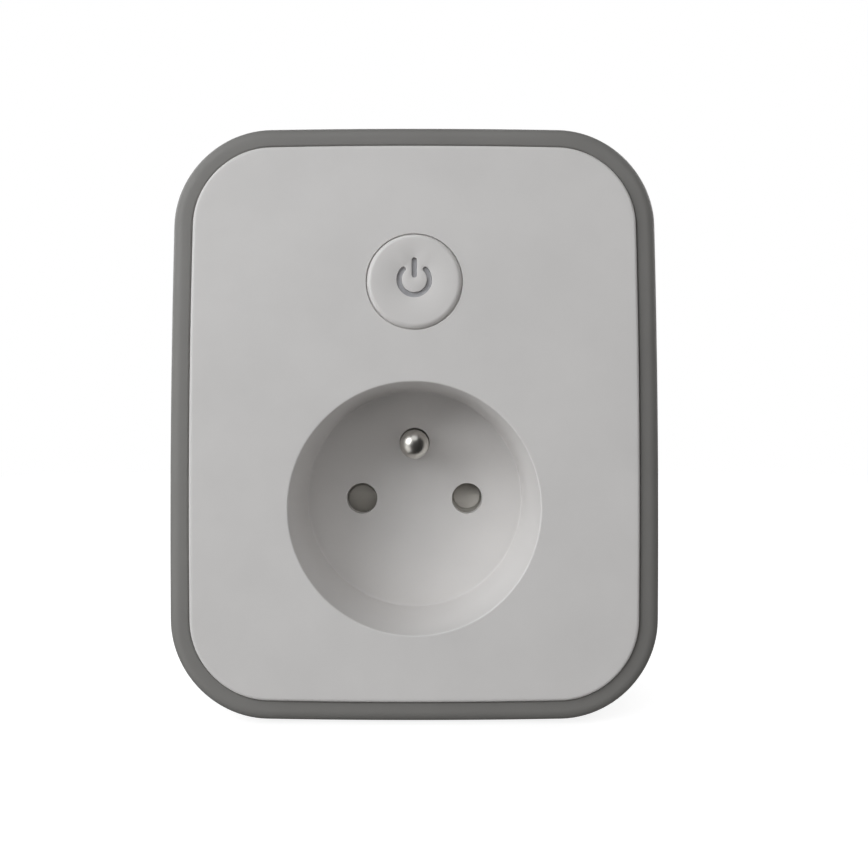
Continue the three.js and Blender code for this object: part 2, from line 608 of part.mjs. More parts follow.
// The insulating block behind the well: a chamber for the shutter in front, and one for each contact behind it.
function contactBlock() {
  const { radius, halfAngle, openAngle } = SHUTTER;
  const chamberBack = SHUTTER_BACK + 0.3;
  const body = block([-17.5, 17.5], [BLOCK_FRONT, BLOCK_BACK], [-18, 5.5]);
  const flange = slab(roundedRectangle(31, 13, 3, 0, 9), BLOCK_FRONT, chamberBack + 1.4, 4);
  const ears = block([-28.2, 28.2], [BLOCK_FRONT, BLOCK_FRONT + 3], [-3.4, 3.4]);
  const sweeps = [0, Math.PI].map((middle) => {
    const shape = sector(3, radius + 0.6, middle - openAngle - halfAngle - 0.06, middle + halfAngle + 0.05);
    return slab(shape, BLOCK_FRONT - 1, chamberBack, 6);
  });
  const hubPocket = rod(SHUTTER.hub + 0.5, BLOCK_FRONT - 1, chamberBack, 18);
  const springRoom = [SPRING.x - 1.8, SPRING.x + 1.8];
  const springPocket = block(springRoom, [BLOCK_FRONT - PAST, chamberBack], [SPRING.low - 0.2, -3]);
  const pivot = rod(1.5, SHUTTER_FRONT + 0.2, chamberBack + 0.1, 16);
  const chambers = onBothSides((s) =>
    block([s * 9.6 - 4.4, s * 9.6 + 4.4], [SHUTTER_BACK, BLOCK_BACK + 1], [-4.1, 4.1]),
  );
  const barSlots = onBothSides((s) =>
    block([s * OUT_BAR_X - 0.65, s * OUT_BAR_X + 0.65], [-27.4, BLOCK_BACK + PAST], [-3, 7]),
  );
  const earthWay = join(
    rod(4.3, BLOCK_FRONT - 1, BLOCK_FRONT + 1.9, 20, 0, PIN.earthRise),
    rod(2.3, BLOCK_FRONT - 1, BLOCK_BACK + 1, 16, 0, PIN.earthRise),
  );
  const screwHoles = onBothSides((s) => rod(1.4, BLOCK_FRONT - 1, BLOCK_FRONT + 5, 12, s * BLOCK_POST.x));
  const pockets = [...sweeps, hubPocket, springPocket, ...chambers, ...barSlots];
  const hollowed = cut(join(body, flange, ears), ...pockets);
  return mesh("contact_block", cut(join(hollowed, pivot), earthWay, ...screwHoles), WHITE_LINER);
}

const blockScrews = () =>
  [-1, 1].map((s, i) =>
    screw(`contact_block_screw_${i + 1}`, s * BLOCK_POST.x, 0, BLOCK_FRONT + 3.1, -1, SMALL_SCREW, ZINC),
  );

// A channel of springy brass whose two leaves grip a plug's pin.
function socketContact(name, s) {
  const x = s * PIN.offset;
  const half = 2.65;
  const pinch = half - 0.15;
  const line = [
    [x - pinch, 3], [x - half, -0.5], [x - half, -3.2], [x + half, -3.2], [x + half, -0.5], [x + pinch, 3],
  ];
  return mesh(name, slab(bentSheet(line, 0.7), -30.9, -20.4, 1), BRASS);
}

// The strip from a socket contact up to the main board.
function outBar(name, s) {
  const x = s * OUT_BAR_X;
  return mesh(name, block([x - 0.4, x + 0.4], [-27, BOARD_FRONT - 0.3], [-2.5, 23.4]), BRASS);
}

// ---------------------------------------------------------------------------------------------------
// Plug side: pins, their carrier, the earth strap and the strips to the board
// ---------------------------------------------------------------------------------------------------

const EARTH_BORE_RADIUS = 3.3;
const CARRIER_SCREWS = [[-7, -10], [7, -10]];
const CARRIER_BACK_SIDE = -5.2; // the carrier's face towards the plug's end wall
const CARRIER_FRONT_SIDE = -13;
const CARRIER_SCREW_SEAT = CARRIER_FRONT_SIDE - 0.1;

// A solid round pin: the nose outside, a flange behind the plug's end wall and a thinner tail.
function plugPin(name, s) {
  const tip = PIN.reach;
  const nose = Array.from({ length: 4 }, (_, i) => {
    const angle = ((i + 1) / 4) * (Math.PI / 2);
    return [PIN.radius * Math.cos(angle), tip - PIN.radius * (1 - Math.sin(angle))];
  });
  const profile = [
    [0, -14.2], [1.7, -14.2], [1.7, -4.9], [3.6, -4.9], [3.6, -3.3], [PIN.radius, -3.3],
    [PIN.radius, tip - PIN.radius], ...nose,
  ];
  return mesh(name, turned(profile, 18, s * PIN.offset, 0), NICKEL);
}

// The plate that holds the pins' flanges against the plug's end wall, with the bore for the outlet's earth pin.
function pinCarrier() {
  const [front, back] = [CARRIER_FRONT_SIDE, CARRIER_BACK_SIDE];
  const sawn = block([-13.9, 13.9], [front - PAST, back + PAST], [-13.9, 4.5]);
  const plate = rod(16.1, front, back, 28).intersect(sawn);
  const tower = slab(roundedRectangle(11, 16, 3, 0, 6.2), front - 1.5, back + 1.9, 5);
  const tails = onBothSides((s) => rod(1.95, front - 3, back + 3, 14, s * PIN.offset, 0));
  const flangeRooms = onBothSides((s) => rod(3.9, back - 0.1, back + 3, 16, s * PIN.offset, 0));
  const bore = rod(EARTH_BORE_RADIUS, front - 3, back + 3, 20, 0, PIN.earthRise);
  const leafRoom = block([-1.8, 1.8], [front - 3, back + 3], [PIN.earthRise, PIN.earthRise + 4]);
  const screwHoles = CARRIER_SCREWS.map(([x, z]) => rod(1.35, front - 1, back + 1, 12, x, z));
  const rooms = [...tails, ...flangeRooms, bore, leafRoom, ...screwHoles];
  return mesh("pin_carrier", cut(join(plate, tower), ...rooms), WHITE_LINER);
}

const carrierScrews = () =>
  CARRIER_SCREWS.map(([x, z], i) =>
    screw(`pin_carrier_screw_${i + 1}`, x, z, CARRIER_SCREW_SEAT, 1, CARRIER_SCREW, ZINC),
  );

// One stamped strap: a leg in the groove above the plug's boss and one below, and a bridge behind the contact
// block.
function plugEarthStrap() {
  const width = 6.4;
  const legs = onBothSides((s) => {
    const line = [[-18.9, s * 17.2], [-12, s * 17.2], [-7, s * 17.5], [-2.4, s * 17.3], [-1.6, s * 17.2]];
    return solid(acrossX(bentSheet(line, 0.7), width, -width / 2));
  });
  const bridge = block([-width / 2, width / 2], [BAR_FRONT, BAR_BACK], [-17.55, 17.55]);
  const rivetHole = rod(2.1, BAR_FRONT - 1, BAR_BACK + 1, 16, 0, PIN.earthRise);
  return mesh("plug_earth_strap", cut(join(...legs, bridge), rivetHole), NICKEL);
}

// The sprung leaf in the plug's earth bore, which touches the outlet's earth pin.
function plugEarthLeaf() {
  const low = PIN.earthRise + 2.35;
  const line = [[-18.2, low + 0.9], [-13.5, low + 0.9], [-9, low + 0.25], [-5.6, low + 1]];
  const width = 3;
  return mesh("plug_earth_leaf", solid(acrossX(bentSheet(line, 0.5), width, -width / 2)), BRASS);
}

// The strip from a plug pin's tail, out of the boss and up behind the main board.
function inBar(name, s) {
  const at = (a, b) => [Math.min(s * a, s * b), Math.max(s * a, s * b)];
  const lug = block(at(7.2, 13.6), [-14, -13.2], [-2.4, 2.4]);
  const run = block(at(12.8, 13.6), [BAR_BACK - 0.1, -13.2], [-2.4, 2.4]);
  const riser = block(at(12.8, 16.6), [BAR_FRONT, BAR_BACK], [-2.4, 24]);
  const tab = block(at(13.5, 15.5), [BOARD_BACK + 0.2, BAR_BACK], [23.2, 24]);
  const tailHole = rod(1.95, -16, -11, 14, s * PIN.offset, 0);
  return mesh(name, cut(join(lug, run, riser, tab), tailHole), BRASS);
}

// ---------------------------------------------------------------------------------------------------
// Main board and its components
// ---------------------------------------------------------------------------------------------------

const BOARD_SCREWS = [[30.5, 25], [-30.5, 40.5]];

function mainBoard() {
  const outline = new THREE.Shape(
    [
      [-33.5, 21.5], [33.5, 21.5], [33.5, 44.5], [22.5, 44.5],
      [22.5, 56.6], [-22.5, 56.6], [-22.5, 44.5], [-33.5, 44.5],
    ].map(([x, z]) => new THREE.Vector2(x, z)),
  );
  const holes = BOARD_SCREWS.map(([x, z]) => rod(1.4, BOARD_FRONT - 1, BOARD_BACK + 1, 12, x, z));
  return mesh("main_board", cut(slab(outline, BOARD_FRONT, BOARD_BACK), ...holes), BOARD_GREEN);
}

const boardScrews = () =>
  BOARD_SCREWS.map(([x, z], i) =>
    screw(`main_board_screw_${i + 1}`, x, z, BOARD_FRONT - 0.1, 1, SHORT_SCREW, ZINC),
  );

const ARMATURE_HINGE_Y = -34.6;
const RELAY = { x: [-30, -1.5], y: [-38, COMPONENT_SEAT], z: [24, 36.8], wall: 0.8, axisY: -30, axisZ: 30.4 };

// The relay: base, coil on its core, L-shaped yoke, hinged armature and a cover that is open towards the board.
function relayParts() {
  const { x, y, z, wall, axisY, axisZ } = RELAY;
  const inside = block([x[0] + wall, x[1] - wall], [y[0] + wall, y[1] + PAST], [z[0] + wall, z[1] - wall]);
  const cover = cut(block(x, y, z), inside);
  const inset = wall + 0.3;
  const base = block([x[0] + inset, x[1] - inset], [y[1] - 1.6, y[1] - 0.1], [z[0] + inset, z[1] - inset]);
  const along = (radius, x0, x1, segments) => {
    const bar = new THREE.CylinderGeometry(radius, radius, x1 - x0, segments).rotateZ(Math.PI / 2);
    return solid(bar.translate((x0 + x1) / 2, axisY, axisZ));
  };
  const coil = join(
    along(3.7, -18.6, -6.7, 20), along(4.5, -19.4, -18.5, 20), along(4.5, -6.8, -5.9, 20),
    along(1.6, -20.2, -5.8, 14),
  );
  const yoke = join(
    block([-5.6, -4.4], [-36, -24.6], [26.2, 34.6]),
    block([-20.6, -4.4], [-36, -34.9], [26.2, 34.6]),
  );
  const armature = join(
    block([-22.3, -21.2], [ARMATURE_HINGE_Y - 0.9, -25.6], [26.4, 34.4]),
    block([-24.6, -22.2], [-27.4, -26.4], [27.4, 33.4]),
  );
  return [
    mesh("relay_cover", cover, RELAY_BLACK),
    mesh("relay_base", base, RELAY_BLACK),
    mesh("relay_coil", coil, COPPER),
    mesh("relay_yoke", yoke, STEEL),
    mesh("relay_armature", armature, STEEL),
  ];
}

// A can with a rounded rim that stands on the main board.
function can(name, radius, height, x, z, material) {
  const [rim, seat] = [0.5, COMPONENT_SEAT];
  const top = seat - height;
  const profile = [[0, top], [radius - rim, top], [radius, top + rim], [radius, seat], [0, seat]];
  return mesh(name, turned(profile, 20, x, z), material);
}

// A box that stands on the main board.
const boxOnBoard = (name, x, height, z, material) =>
  mesh(name, block(x, [COMPONENT_SEAT - height, COMPONENT_SEAT], z), material);

function varistor() {
  const disc = new THREE.CylinderGeometry(4.6, 4.6, 3.6, 24).rotateZ(Math.PI / 2);
  disc.translate(26, COMPONENT_SEAT - 6.4, 30.2);
  const foot = block([24.8, 27.2], [COMPONENT_SEAT - 3, COMPONENT_SEAT], [27.5, 32.9]);
  return mesh("varistor", join(solid(disc), foot), BLUE_CASE);
}

function fusibleResistor() {
  const axisY = COMPONENT_SEAT - 2.4;
  const body = new THREE.CylinderGeometry(1.9, 1.9, 7.5, 16).rotateX(Math.PI / 2).translate(-24.4, axisY, 41);
  const leads = [38.2, 43.8].map((z) => block([-24.8, -24], [axisY, COMPONENT_SEAT], [z - 1, z + 0.2]));
  return mesh("fusible_resistor", join(solid(body), ...leads), RESISTOR_GREEN);
}

function transformer() {
  const [x, z, seat] = [14, 47.5, COMPONENT_SEAT];
  const core = cut(
    block([x - 7, x + 7], [seat - 12.5, seat - 1.5], [z - 3.4, z + 3.4]),
    block([x - 4.7, x - 2.1], [seat - 10.6, seat - 3.4], [z - 4, z + 4]),
    block([x + 2.1, x + 4.7], [seat - 10.6, seat - 3.4], [z - 4, z + 4]),
  );
  const winding = cut(
    slab(roundedRectangle(8.8, 12, 1.5, x, z), seat - 10.2, seat - 3.8, 4),
    block([x - 2.4, x + 2.4], [seat - 20, seat + 1], [z - 3.7, z + 3.7]),
  );
  return [mesh("transformer_core", core, FERRITE), mesh("transformer_winding", winding, TAPE_YELLOW)];
}

function choke() {
  const seat = COMPONENT_SEAT;
  const [rim, waist] = [3.4, 2.6];
  const profile = [
    [0, seat - 8], [rim, seat - 8], [rim, seat - 6.8], [waist, seat - 6.8], [waist, seat - 1.4],
    [rim, seat - 1.4], [rim, seat], [0, seat],
  ];
  return mesh("choke", turned(profile, 20, 29, 40), FERRITE);
}

function currentShunt() {
  const seat = COMPONENT_SEAT;
  const line = [[29.7, seat], [29.7, seat - 3.6], [32.5, seat - 3.6], [32.5, seat]];
  return mesh("current_shunt", strip(bentSheet(line, 0.6), 3, 32.4), COPPER);
}

// A small chip with a row of legs on two sides, lying on the main board.
function chip(name, x, z, width, height, pins) {
  const seat = COMPONENT_SEAT;
  const [halfWidth, halfHeight] = [width / 2, height / 2];
  const legHalf = halfHeight + 0.9;
  const [left, right, low, high] = [x - halfWidth, x + halfWidth, z - halfHeight, z + halfHeight];
  const body = block([left, right], [seat - 1.7, seat - 0.2], [low, high]);
  const pitch = (width - 1) / (pins - 1);
  const legs = Array.from({ length: pins }, (_, i) => {
    const at = x - halfWidth + 0.5 + i * pitch;
    return block([at - 0.2, at + 0.2], [seat - 0.6, seat], [z - legHalf, z + legHalf]);
  });
  return mesh(name, join(body, ...legs), CHIP_BLACK);
}

// The radio module: a small board standing on edge near the top, with a tinned shield over its chip.
function radio() {
  const board = block([-10, 9], [-46, COMPONENT_SEAT], [55.2, 56.1]);
  const shield = block([-7, 5.6], [-37, -25], [52.7, 55]);
  return [mesh("radio_board", board, BOARD_GREEN), mesh("radio_shield", shield, ZINC)];
}

// ---------------------------------------------------------------------------------------------------
// Assembly
// ---------------------------------------------------------------------------------------------------

const meter = new THREE.Group();

const shells = new THREE.Group();
shells.add(frontCover(), sideFrame(), rearCover(), ...caseScrews());

const button = new THREE.Group();
button.add(
  buttonCap(), buttonLightGuide(), buttonBoard(), tactSwitch(), tactPlunger(), statusLed(), boardLinkHeader(),
);

const socketSide = new THREE.Group();
socketSide.add(
  earthPin(), shutterRotor(), shutterSpring(), contactBlock(), ...blockScrews(),
  socketContact("line_contact", 1), socketContact("neutral_contact", -1),
  outBar("line_out_bar", 1), outBar("neutral_out_bar", -1),
);

const plugSide = new THREE.Group();
plugSide.add(
  plugPin("line_pin", 1), plugPin("neutral_pin", -1), pinCarrier(), ...carrierScrews(), plugEarthStrap(),
  plugEarthLeaf(), inBar("line_in_bar", 1), inBar("neutral_in_bar", -1),
);

const electronics = new THREE.Group();
electronics.add(
  mainBoard(), ...boardScrews(), ...relayParts(), varistor(), fusibleResistor(), ...transformer(), choke(),
  currentShunt(), ...radio(),
  boxOnBoard("noise_capacitor", [3, 21], 14.5, [24.2, 32.8], YELLOW_CASE),
  can("input_capacitor", 5, 16, -14, 47, CAN_BLACK),
  can("output_capacitor", 3.15, 11, -1, 45.5, CAN_BLACK),
  chip("rectifier", -8, 39.8, 6, 3.6, 2),
  chip("metering_chip", 14.5, 36.6, 9.9, 3.9, 8),
  chip("regulator_chip", 22.6, 38.5, 4, 3.2, 3),
);

meter.add(shells, button, socketSide, plugSide, electronics);

export default meter;
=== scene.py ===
"""The looks of a plug-in power meter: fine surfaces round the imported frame, their finishes, the
light and the camera.

Shapes are worked out in millimetres in the frame's axes: X to the right, Y into the wall, Z up. A
surface is a pair: an array of points, and its faces as lists of point numbers. build() joins
surfaces into one piece.
"""

import json
import math

import bmesh
import bpy
import numpy as np
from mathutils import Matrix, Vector
from mathutils.geometry import delaunay_2d_cdt


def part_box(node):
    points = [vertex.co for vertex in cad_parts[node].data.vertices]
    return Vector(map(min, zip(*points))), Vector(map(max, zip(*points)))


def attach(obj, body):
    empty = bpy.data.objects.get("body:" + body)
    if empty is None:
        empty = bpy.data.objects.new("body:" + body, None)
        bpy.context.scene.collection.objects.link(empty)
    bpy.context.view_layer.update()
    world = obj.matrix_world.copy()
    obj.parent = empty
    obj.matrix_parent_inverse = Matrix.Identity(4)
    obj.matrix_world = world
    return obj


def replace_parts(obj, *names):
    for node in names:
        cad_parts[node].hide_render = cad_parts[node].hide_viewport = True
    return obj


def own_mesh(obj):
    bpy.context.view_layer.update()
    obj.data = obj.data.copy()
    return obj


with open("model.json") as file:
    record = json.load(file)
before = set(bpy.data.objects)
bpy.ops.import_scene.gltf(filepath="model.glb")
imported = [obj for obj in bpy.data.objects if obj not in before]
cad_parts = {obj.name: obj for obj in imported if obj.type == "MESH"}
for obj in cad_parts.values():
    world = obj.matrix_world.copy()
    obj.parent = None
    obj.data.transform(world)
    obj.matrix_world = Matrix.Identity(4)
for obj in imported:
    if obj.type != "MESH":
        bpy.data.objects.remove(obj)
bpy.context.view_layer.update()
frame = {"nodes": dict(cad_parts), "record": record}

# --------------------------------------------------------------------------------------------------
# Sizes, in millimetres
# --------------------------------------------------------------------------------------------------

MM = 0.001
MERGE = 0.002  # points closer than this are one
SHORTEST_EDGE = 0.001


def node_box(name):
    """A node's lowest and highest corners."""
    low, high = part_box(name)
    return np.array(low) / MM, np.array(high) / MM


MOUNTS = {mount["name"]: np.array(mount["pos_m"]) / MM for mount in frame["record"]["mounts"]}
FRAME_LOW, FRAME_HIGH = node_box("side_frame")
COVER_LOW, COVER_HIGH = node_box("front_cover")
CAP_LOW, CAP_HIGH = node_box("button_cap")
EARTH_LOW, EARTH_HIGH = node_box("earth_pin")

RISE = (FRAME_LOW[2] + FRAME_HIGH[2]) / 2  # height of the case's middle above the plug's axis
CASE = {"width": 79.2, "height": 96.1, "corner": 15.5, "crown": 0.6}
PLATE = {"width": 71.9, "height": 88.8, "corner": 12.2, "crown": 0.6}
FRONT = COVER_LOW[1]
REAR = MOUNTS["wall_face"][1]
WELL_FLOOR = MOUNTS["socket_floor"][1]
PLUG_FACE = MOUNTS["plug_face"][1]
FRAME_FRONT, FRAME_BACK = FRAME_LOW[1], FRAME_HIGH[1]
POST_END = COVER_HIGH[1]
BUTTON_Z = (CAP_LOW[2] + CAP_HIGH[2]) / 2
EARTH_Z = (EARTH_LOW[2] + EARTH_HIGH[2]) / 2

CAP_FLANGE = 1.35
CAP_RADIUS = (CAP_HIGH[0] - CAP_LOW[0]) / 2 - CAP_FLANGE
OPENING_RADIUS = CAP_RADIUS + 0.15
PLATE_BACK = FRONT + 2.2
INSIDE = 2.7  # inset of the outline that the covers' walls share inside the band
WELL_BACK = WELL_FLOOR + 2.5
REAR_INSIDE = REAR - 2
SCREW_FLOOR = -19.3
PIN_X = 9.5
PIN_RADIUS = 2.4
PIN_FLANGE_Y = -4.9
BOSS_RADIUS = 18.4
EARTH_BORE = 3.3
BLOCK_SCREW_X = 25
BOARD_SCREW_X = 11.5
LAND = 0.1  # width of the flat ring kept round a rounded edge
CASE_SCREW_X, CASE_SCREW_RISE = 28, 36.5  # from the case's middle
CASE_SCREWS = [
    (side * CASE_SCREW_X, RISE + way * CASE_SCREW_RISE) for side in (-1, 1) for way in (-1, 1)
]

# --------------------------------------------------------------------------------------------------
# Surfaces
# --------------------------------------------------------------------------------------------------


def bend(centre, radius, start, end, count=7):
    """Points of a profile on an arc: centre plus radius at angles that step evenly from start to
    end degrees."""
    angle = np.radians(np.linspace(start, end, count))
    return np.stack((centre[0] + radius * np.cos(angle), centre[1] + radius * np.sin(angle)), 1)


def profile(*parts):
    """One list of profile points from single points and arcs."""
    return np.concatenate([np.atleast_2d(part) for part in parts])


def rounded(
    width, height, corner, crown=0.0, inset=0.0, x=0.0, z=RISE, corner_points=26, side_points=15
):
    """A rounded rectangle moved inwards by inset: four quarter circles joined by straight runs.
    Each point is then pushed out along x by a share crown / half width that falls off with the
    square of its place along z, and along z likewise."""
    half_width, half_height = width / 2 - crown, height / 2 - crown
    arcs = []
    for quarter, (sx, sz) in enumerate(((1, 1), (-1, 1), (-1, -1), (1, -1))):
        centre = (sx * (half_width - corner), sz * (half_height - corner))
        arcs.append(bend(centre, corner - inset, quarter * 90, quarter * 90 + 90, corner_points))
    share = np.linspace(0, 1, side_points + 2)[1:-1, None]
    sides = [a[-1] + share * (b[0] - a[-1]) for a, b in zip(arcs, arcs[1:] + arcs[:1])]
    loop = np.concatenate([part for pair in zip(arcs, sides) for part in pair])
    across, up = loop[:, 0] / half_width, loop[:, 1] / half_height
    return np.stack(
        (x + loop[:, 0] * (1 + crown / half_width * (1 - up**2)),
         z + loop[:, 1] * (1 + crown / half_height * (1 - across**2))),
        1,
    )


def circle(radius, x=0.0, z=0.0, count=160):
    """Points evenly round a circle."""
    angle = np.linspace(0, 2 * math.pi, count, endpoint=False)
    return np.stack((x + radius * np.cos(angle), z + radius * np.sin(angle)), 1)


def softened(loop, radius, steps=5):
    """A closed outline with its corners rounded: each corner becomes the curve (1-t)^2 A + 2t(1-t)
    V + t^2 C, where V is the corner, and A and C lie on its two edges, radius away from it or
    halfway along a shorter edge."""

    def towards(other):
        edge = other - loop
        length = np.linalg.norm(edge, axis=1, keepdims=True)
        return loop + edge * np.minimum(radius / length, 0.5)

    t = np.linspace(0, 1, steps)[None, :, None]
    before, after = towards(np.roll(loop, 1, 0))[:, None], towards(np.roll(loop, -1, 0))[:, None]
    return ((1 - t) ** 2 * before + 2 * t * (1 - t) * loop[:, None] + t**2 * after).reshape(-1, 2)


def grid_faces(rows, columns, ring=False):
    """Four-sided faces of a grid whose columns close on themselves, and whose rows do too if ring
    is set."""
    row = np.arange(rows if ring else rows - 1)[:, None]
    column = np.arange(columns)[None, :]
    beside = (column + 1) % columns
    here, below = row * columns, ((row + 1) % rows) * columns
    corners = np.stack((here + column, here + beside, below + beside, below + column), -1)
    return corners.reshape(-1, 4).tolist()


def loft(loops, ring=False):
    """The skin through loops of equally many points: a rows x columns x 3 array."""
    loops = np.asarray(loops, float)
    return loops.reshape(-1, 3), grid_faces(loops.shape[0], loops.shape[1], ring)


def at_depth(loop, y):
    """An outline in x and z, placed at depth y."""
    return np.stack((loop[:, 0], np.full(len(loop), y), loop[:, 1]), 1)


def carried(stations, outline, ring=False):
    """A profile carried round an outline: stations lists [inset, y], and outline gives the loop at
    an inset."""
    return loft([at_depth(outline(inset), y) for inset, y in stations], ring)


def turned(points, x=0.0, z=0.0, count=160):
    """A profile of [radius, y] turned about an axis along Y: x + r cos a, y, z + r sin a."""
    angle = np.linspace(0, 2 * math.pi, count, endpoint=False)[None, :]
    radius, depth = np.asarray(points, float).T[:, :, None]
    across, up = x + radius * np.cos(angle), z + radius * np.sin(angle)
    return loft(np.stack((across, depth + 0 * angle, up), -1))


def post(radius, bore, foot, end, bottom, x, z, count=28):
    """A round post that stands from depth foot to depth end, with a blind hole down to bottom."""
    points = [(0, foot), (radius, foot), (radius, end), (bore, end), (bore, bottom), (0, bottom)]
    return turned(points, x, z, count)


def flat(y, *loops):
    """The flat sheet at depth y inside the first outline and outside the others, cut into
    triangles. A triangle stays if a ray from its middle crosses the outlines an odd number of
    times."""
    points = np.concatenate(loops)
    starts = np.cumsum([0] + [len(loop) for loop in loops])
    edges = [
        (first + i, first + (i + 1) % (last - first))
        for first, last in zip(starts, starts[1:]) for i in range(last - first)
    ]
    vectors = [Vector(point) for point in points.tolist()]
    corners, _, faces, *_ = delaunay_2d_cdt(vectors, edges, [], 1, 1e-7)
    corners = np.array([tuple(corner) for corner in corners])
    faces = np.array([list(face) for face in faces])
    middle = corners[faces].mean(1)[:, None]
    start = points[[first for first, _ in edges]][None]
    end = points[[last for _, last in edges]][None]
    rise = end[..., 1] - start[..., 1]
    spans = (start[..., 1] > middle[..., 1]) != (end[..., 1] > middle[..., 1])
    share = (middle[..., 1] - start[..., 1]) / np.where(rise == 0, 1, rise)
    crossed = spans & (start[..., 0] + share * (end[..., 0] - start[..., 0]) > middle[..., 0])
    return at_depth(corners, y), faces[crossed.sum(1) % 2 == 1].tolist()


# --------------------------------------------------------------------------------------------------
# Pieces
# --------------------------------------------------------------------------------------------------


def build(name, surfaces, material, body="housing", replaces=(), sharp=38):
    """One piece from surfaces: seams are merged, faces are turned outwards, and edges above sharp
    degrees stay crisp."""
    starts = np.cumsum([0] + [len(points) for points, _ in surfaces]).tolist()
    faces = [
        [start + i for i in face] for start, (_, part) in zip(starts, surfaces) for face in part
    ]
    mesh = bpy.data.meshes.new(name)
    mesh.from_pydata((np.concatenate([points for points, _ in surfaces]) * MM).tolist(), [], faces)
    work = bmesh.new()
    work.from_mesh(mesh)
    bmesh.ops.remove_doubles(work, verts=work.verts, dist=MERGE * MM)
    bmesh.ops.dissolve_degenerate(work, edges=work.edges, dist=SHORTEST_EDGE * MM)
    bmesh.ops.recalc_face_normals(work, faces=work.faces)
    work.to_mesh(mesh)
    work.free()
    mesh.polygons.foreach_set("use_smooth", np.ones(len(mesh.polygons), bool))
    mesh.set_sharp_from_angle(angle=math.radians(sharp))
    mesh.materials.append(material)
    piece = bpy.data.objects.new(name, mesh)
    bpy.context.scene.collection.objects.link(piece)
    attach(piece, body)
    if replaces:
        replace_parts(piece, *replaces)
    return piece


def plate_outline(inset):
    """The front plate's outline, moved inwards."""
    return rounded(**PLATE, inset=inset)


def case_outline(inset):
    """The case's outline, moved inwards."""
    return rounded(**CASE, inset=inset)


def hole_edge(radius, y, round_radius, land=0.12):
    """Profile of a hole's front edge: a narrow flat rim, then a quarter circle into the hole."""
    return profile(
        (radius + round_radius + land, y),
        bend((radius + round_radius, y + round_radius), round_radius, 270, 180, 6),
    )


def front_cover(material):
    """White plate with a soft edge, the socket's well, the button's collar and the screw posts."""
    edge, land, neck, wall = 0.6, 0.2, 0.3, 1.9
    flange_front, flange_back = FRONT + 4.2, FRONT + 6
    rim = profile(
        (edge + land, FRONT), bend((edge, FRONT + edge), edge, 270, 180, 9),
        (0, PLATE_BACK), (neck, PLATE_BACK), (neck, flange_front),
    )
    flange = [
        (plate_outline(neck), flange_front), (case_outline(INSIDE), flange_front),
        (case_outline(INSIDE), flange_back), (plate_outline(wall), flange_back),
        (plate_outline(wall), PLATE_BACK),
    ]
    skin = [carried(rim, plate_outline), loft([at_depth(loop, y) for loop, y in flange])]

    mouth, foot, crease, thickness = 20.05, 19.4, 0.35, 1.8
    floor_edge = foot - crease - LAND
    well = profile(
        hole_edge(mouth, FRONT, 0.25),
        bend((foot - crease, WELL_FLOOR - crease), crease, 0, 90, 6),
        (floor_edge, WELL_FLOOR),
    )
    well_back = [
        (floor_edge, WELL_BACK), (foot + thickness, WELL_BACK), (mouth + thickness, PLATE_BACK)
    ]
    collar_radius, collar_back = 9.6, FRONT + 4
    collar = profile(
        hole_edge(OPENING_RADIUS, FRONT, 0.12), (OPENING_RADIUS, collar_back),
        (collar_radius, collar_back), (collar_radius, PLATE_BACK),
    )
    pin_edge = hole_edge(2.75, WELL_FLOOR, 0.1, 0.06)
    earth_edge = hole_edge(2.7, WELL_FLOOR, 0.1, 0.06)
    holes = [(pin_edge, -PIN_X, 0), (pin_edge, PIN_X, 0), (earth_edge, 0, EARTH_Z)]
    rims = [circle(edge_profile[0][0], x, z, 64) for edge_profile, x, z in holes]
    backs = [circle(edge_profile[-1][0], x, z, 64) for edge_profile, x, z in holes]
    floor_rim = circle(floor_edge)
    opening_rim = circle(collar[0][0], 0, BUTTON_Z)
    collar_rim = circle(collar_radius, 0, BUTTON_Z)
    skin += [
        turned(well), turned(well_back), turned(collar, 0, BUTTON_Z),
        flat(FRONT, plate_outline(edge + land), circle(well[0][0]), opening_rim),
        flat(WELL_FLOOR, floor_rim, *rims), flat(WELL_BACK, floor_rim, *backs),
        flat(PLATE_BACK, plate_outline(wall), circle(well_back[-1][0]), collar_rim),
    ]
    for edge_profile, x, z in holes:
        skin.append(turned(profile(edge_profile, (edge_profile[-1][0], WELL_BACK)), x, z, 64))

    # Posts for the case screws, the contact block's screws and the button board.
    root = PLATE_BACK - 0.1
    skin += [post(3.5, 1.8, root, POST_END, POST_END - 11, x, z, 32) for x, z in CASE_SCREWS]
    for side in (-1, 1):
        skin.append(post(2.6, 1.4, root, WELL_BACK, -43, side * BLOCK_SCREW_X, 0))
    for side in (-1, 1):
        skin.append(post(2.2, 1.1, root, -45.3, -43.2, side * BOARD_SCREW_X, BUTTON_Z))
    return build("front_cover_shell", skin, material, replaces=["front_cover"])


def side_frame(material):
    """Grey band: a lip with a large round outside and a small one at the window, drafted sides and
    a soft rear edge."""
    nose, lip, foot, gap = 2.1, 0.3, 0.25, 0.25
    back_inset, wall, ledge = 0.35, 2.4, FRONT + 3.9
    outside = profile(
        bend((nose, FRAME_FRONT + nose), nose, 270, 180, 14),
        bend((back_inset + foot, FRAME_BACK - foot), foot, 180, 90, 5),
        (wall, FRAME_BACK), (wall, ledge),
    )
    window = profile((-gap, ledge), bend((-gap - lip, FRAME_FRONT + lip), lip, 0, -90, 7))
    loops = [at_depth(case_outline(inset), y) for inset, y in outside]
    loops += [at_depth(plate_outline(inset), y) for inset, y in window]
    band = loft(loops, ring=True)
    return build("side_frame_band", [band], material, replaces=["side_frame"])


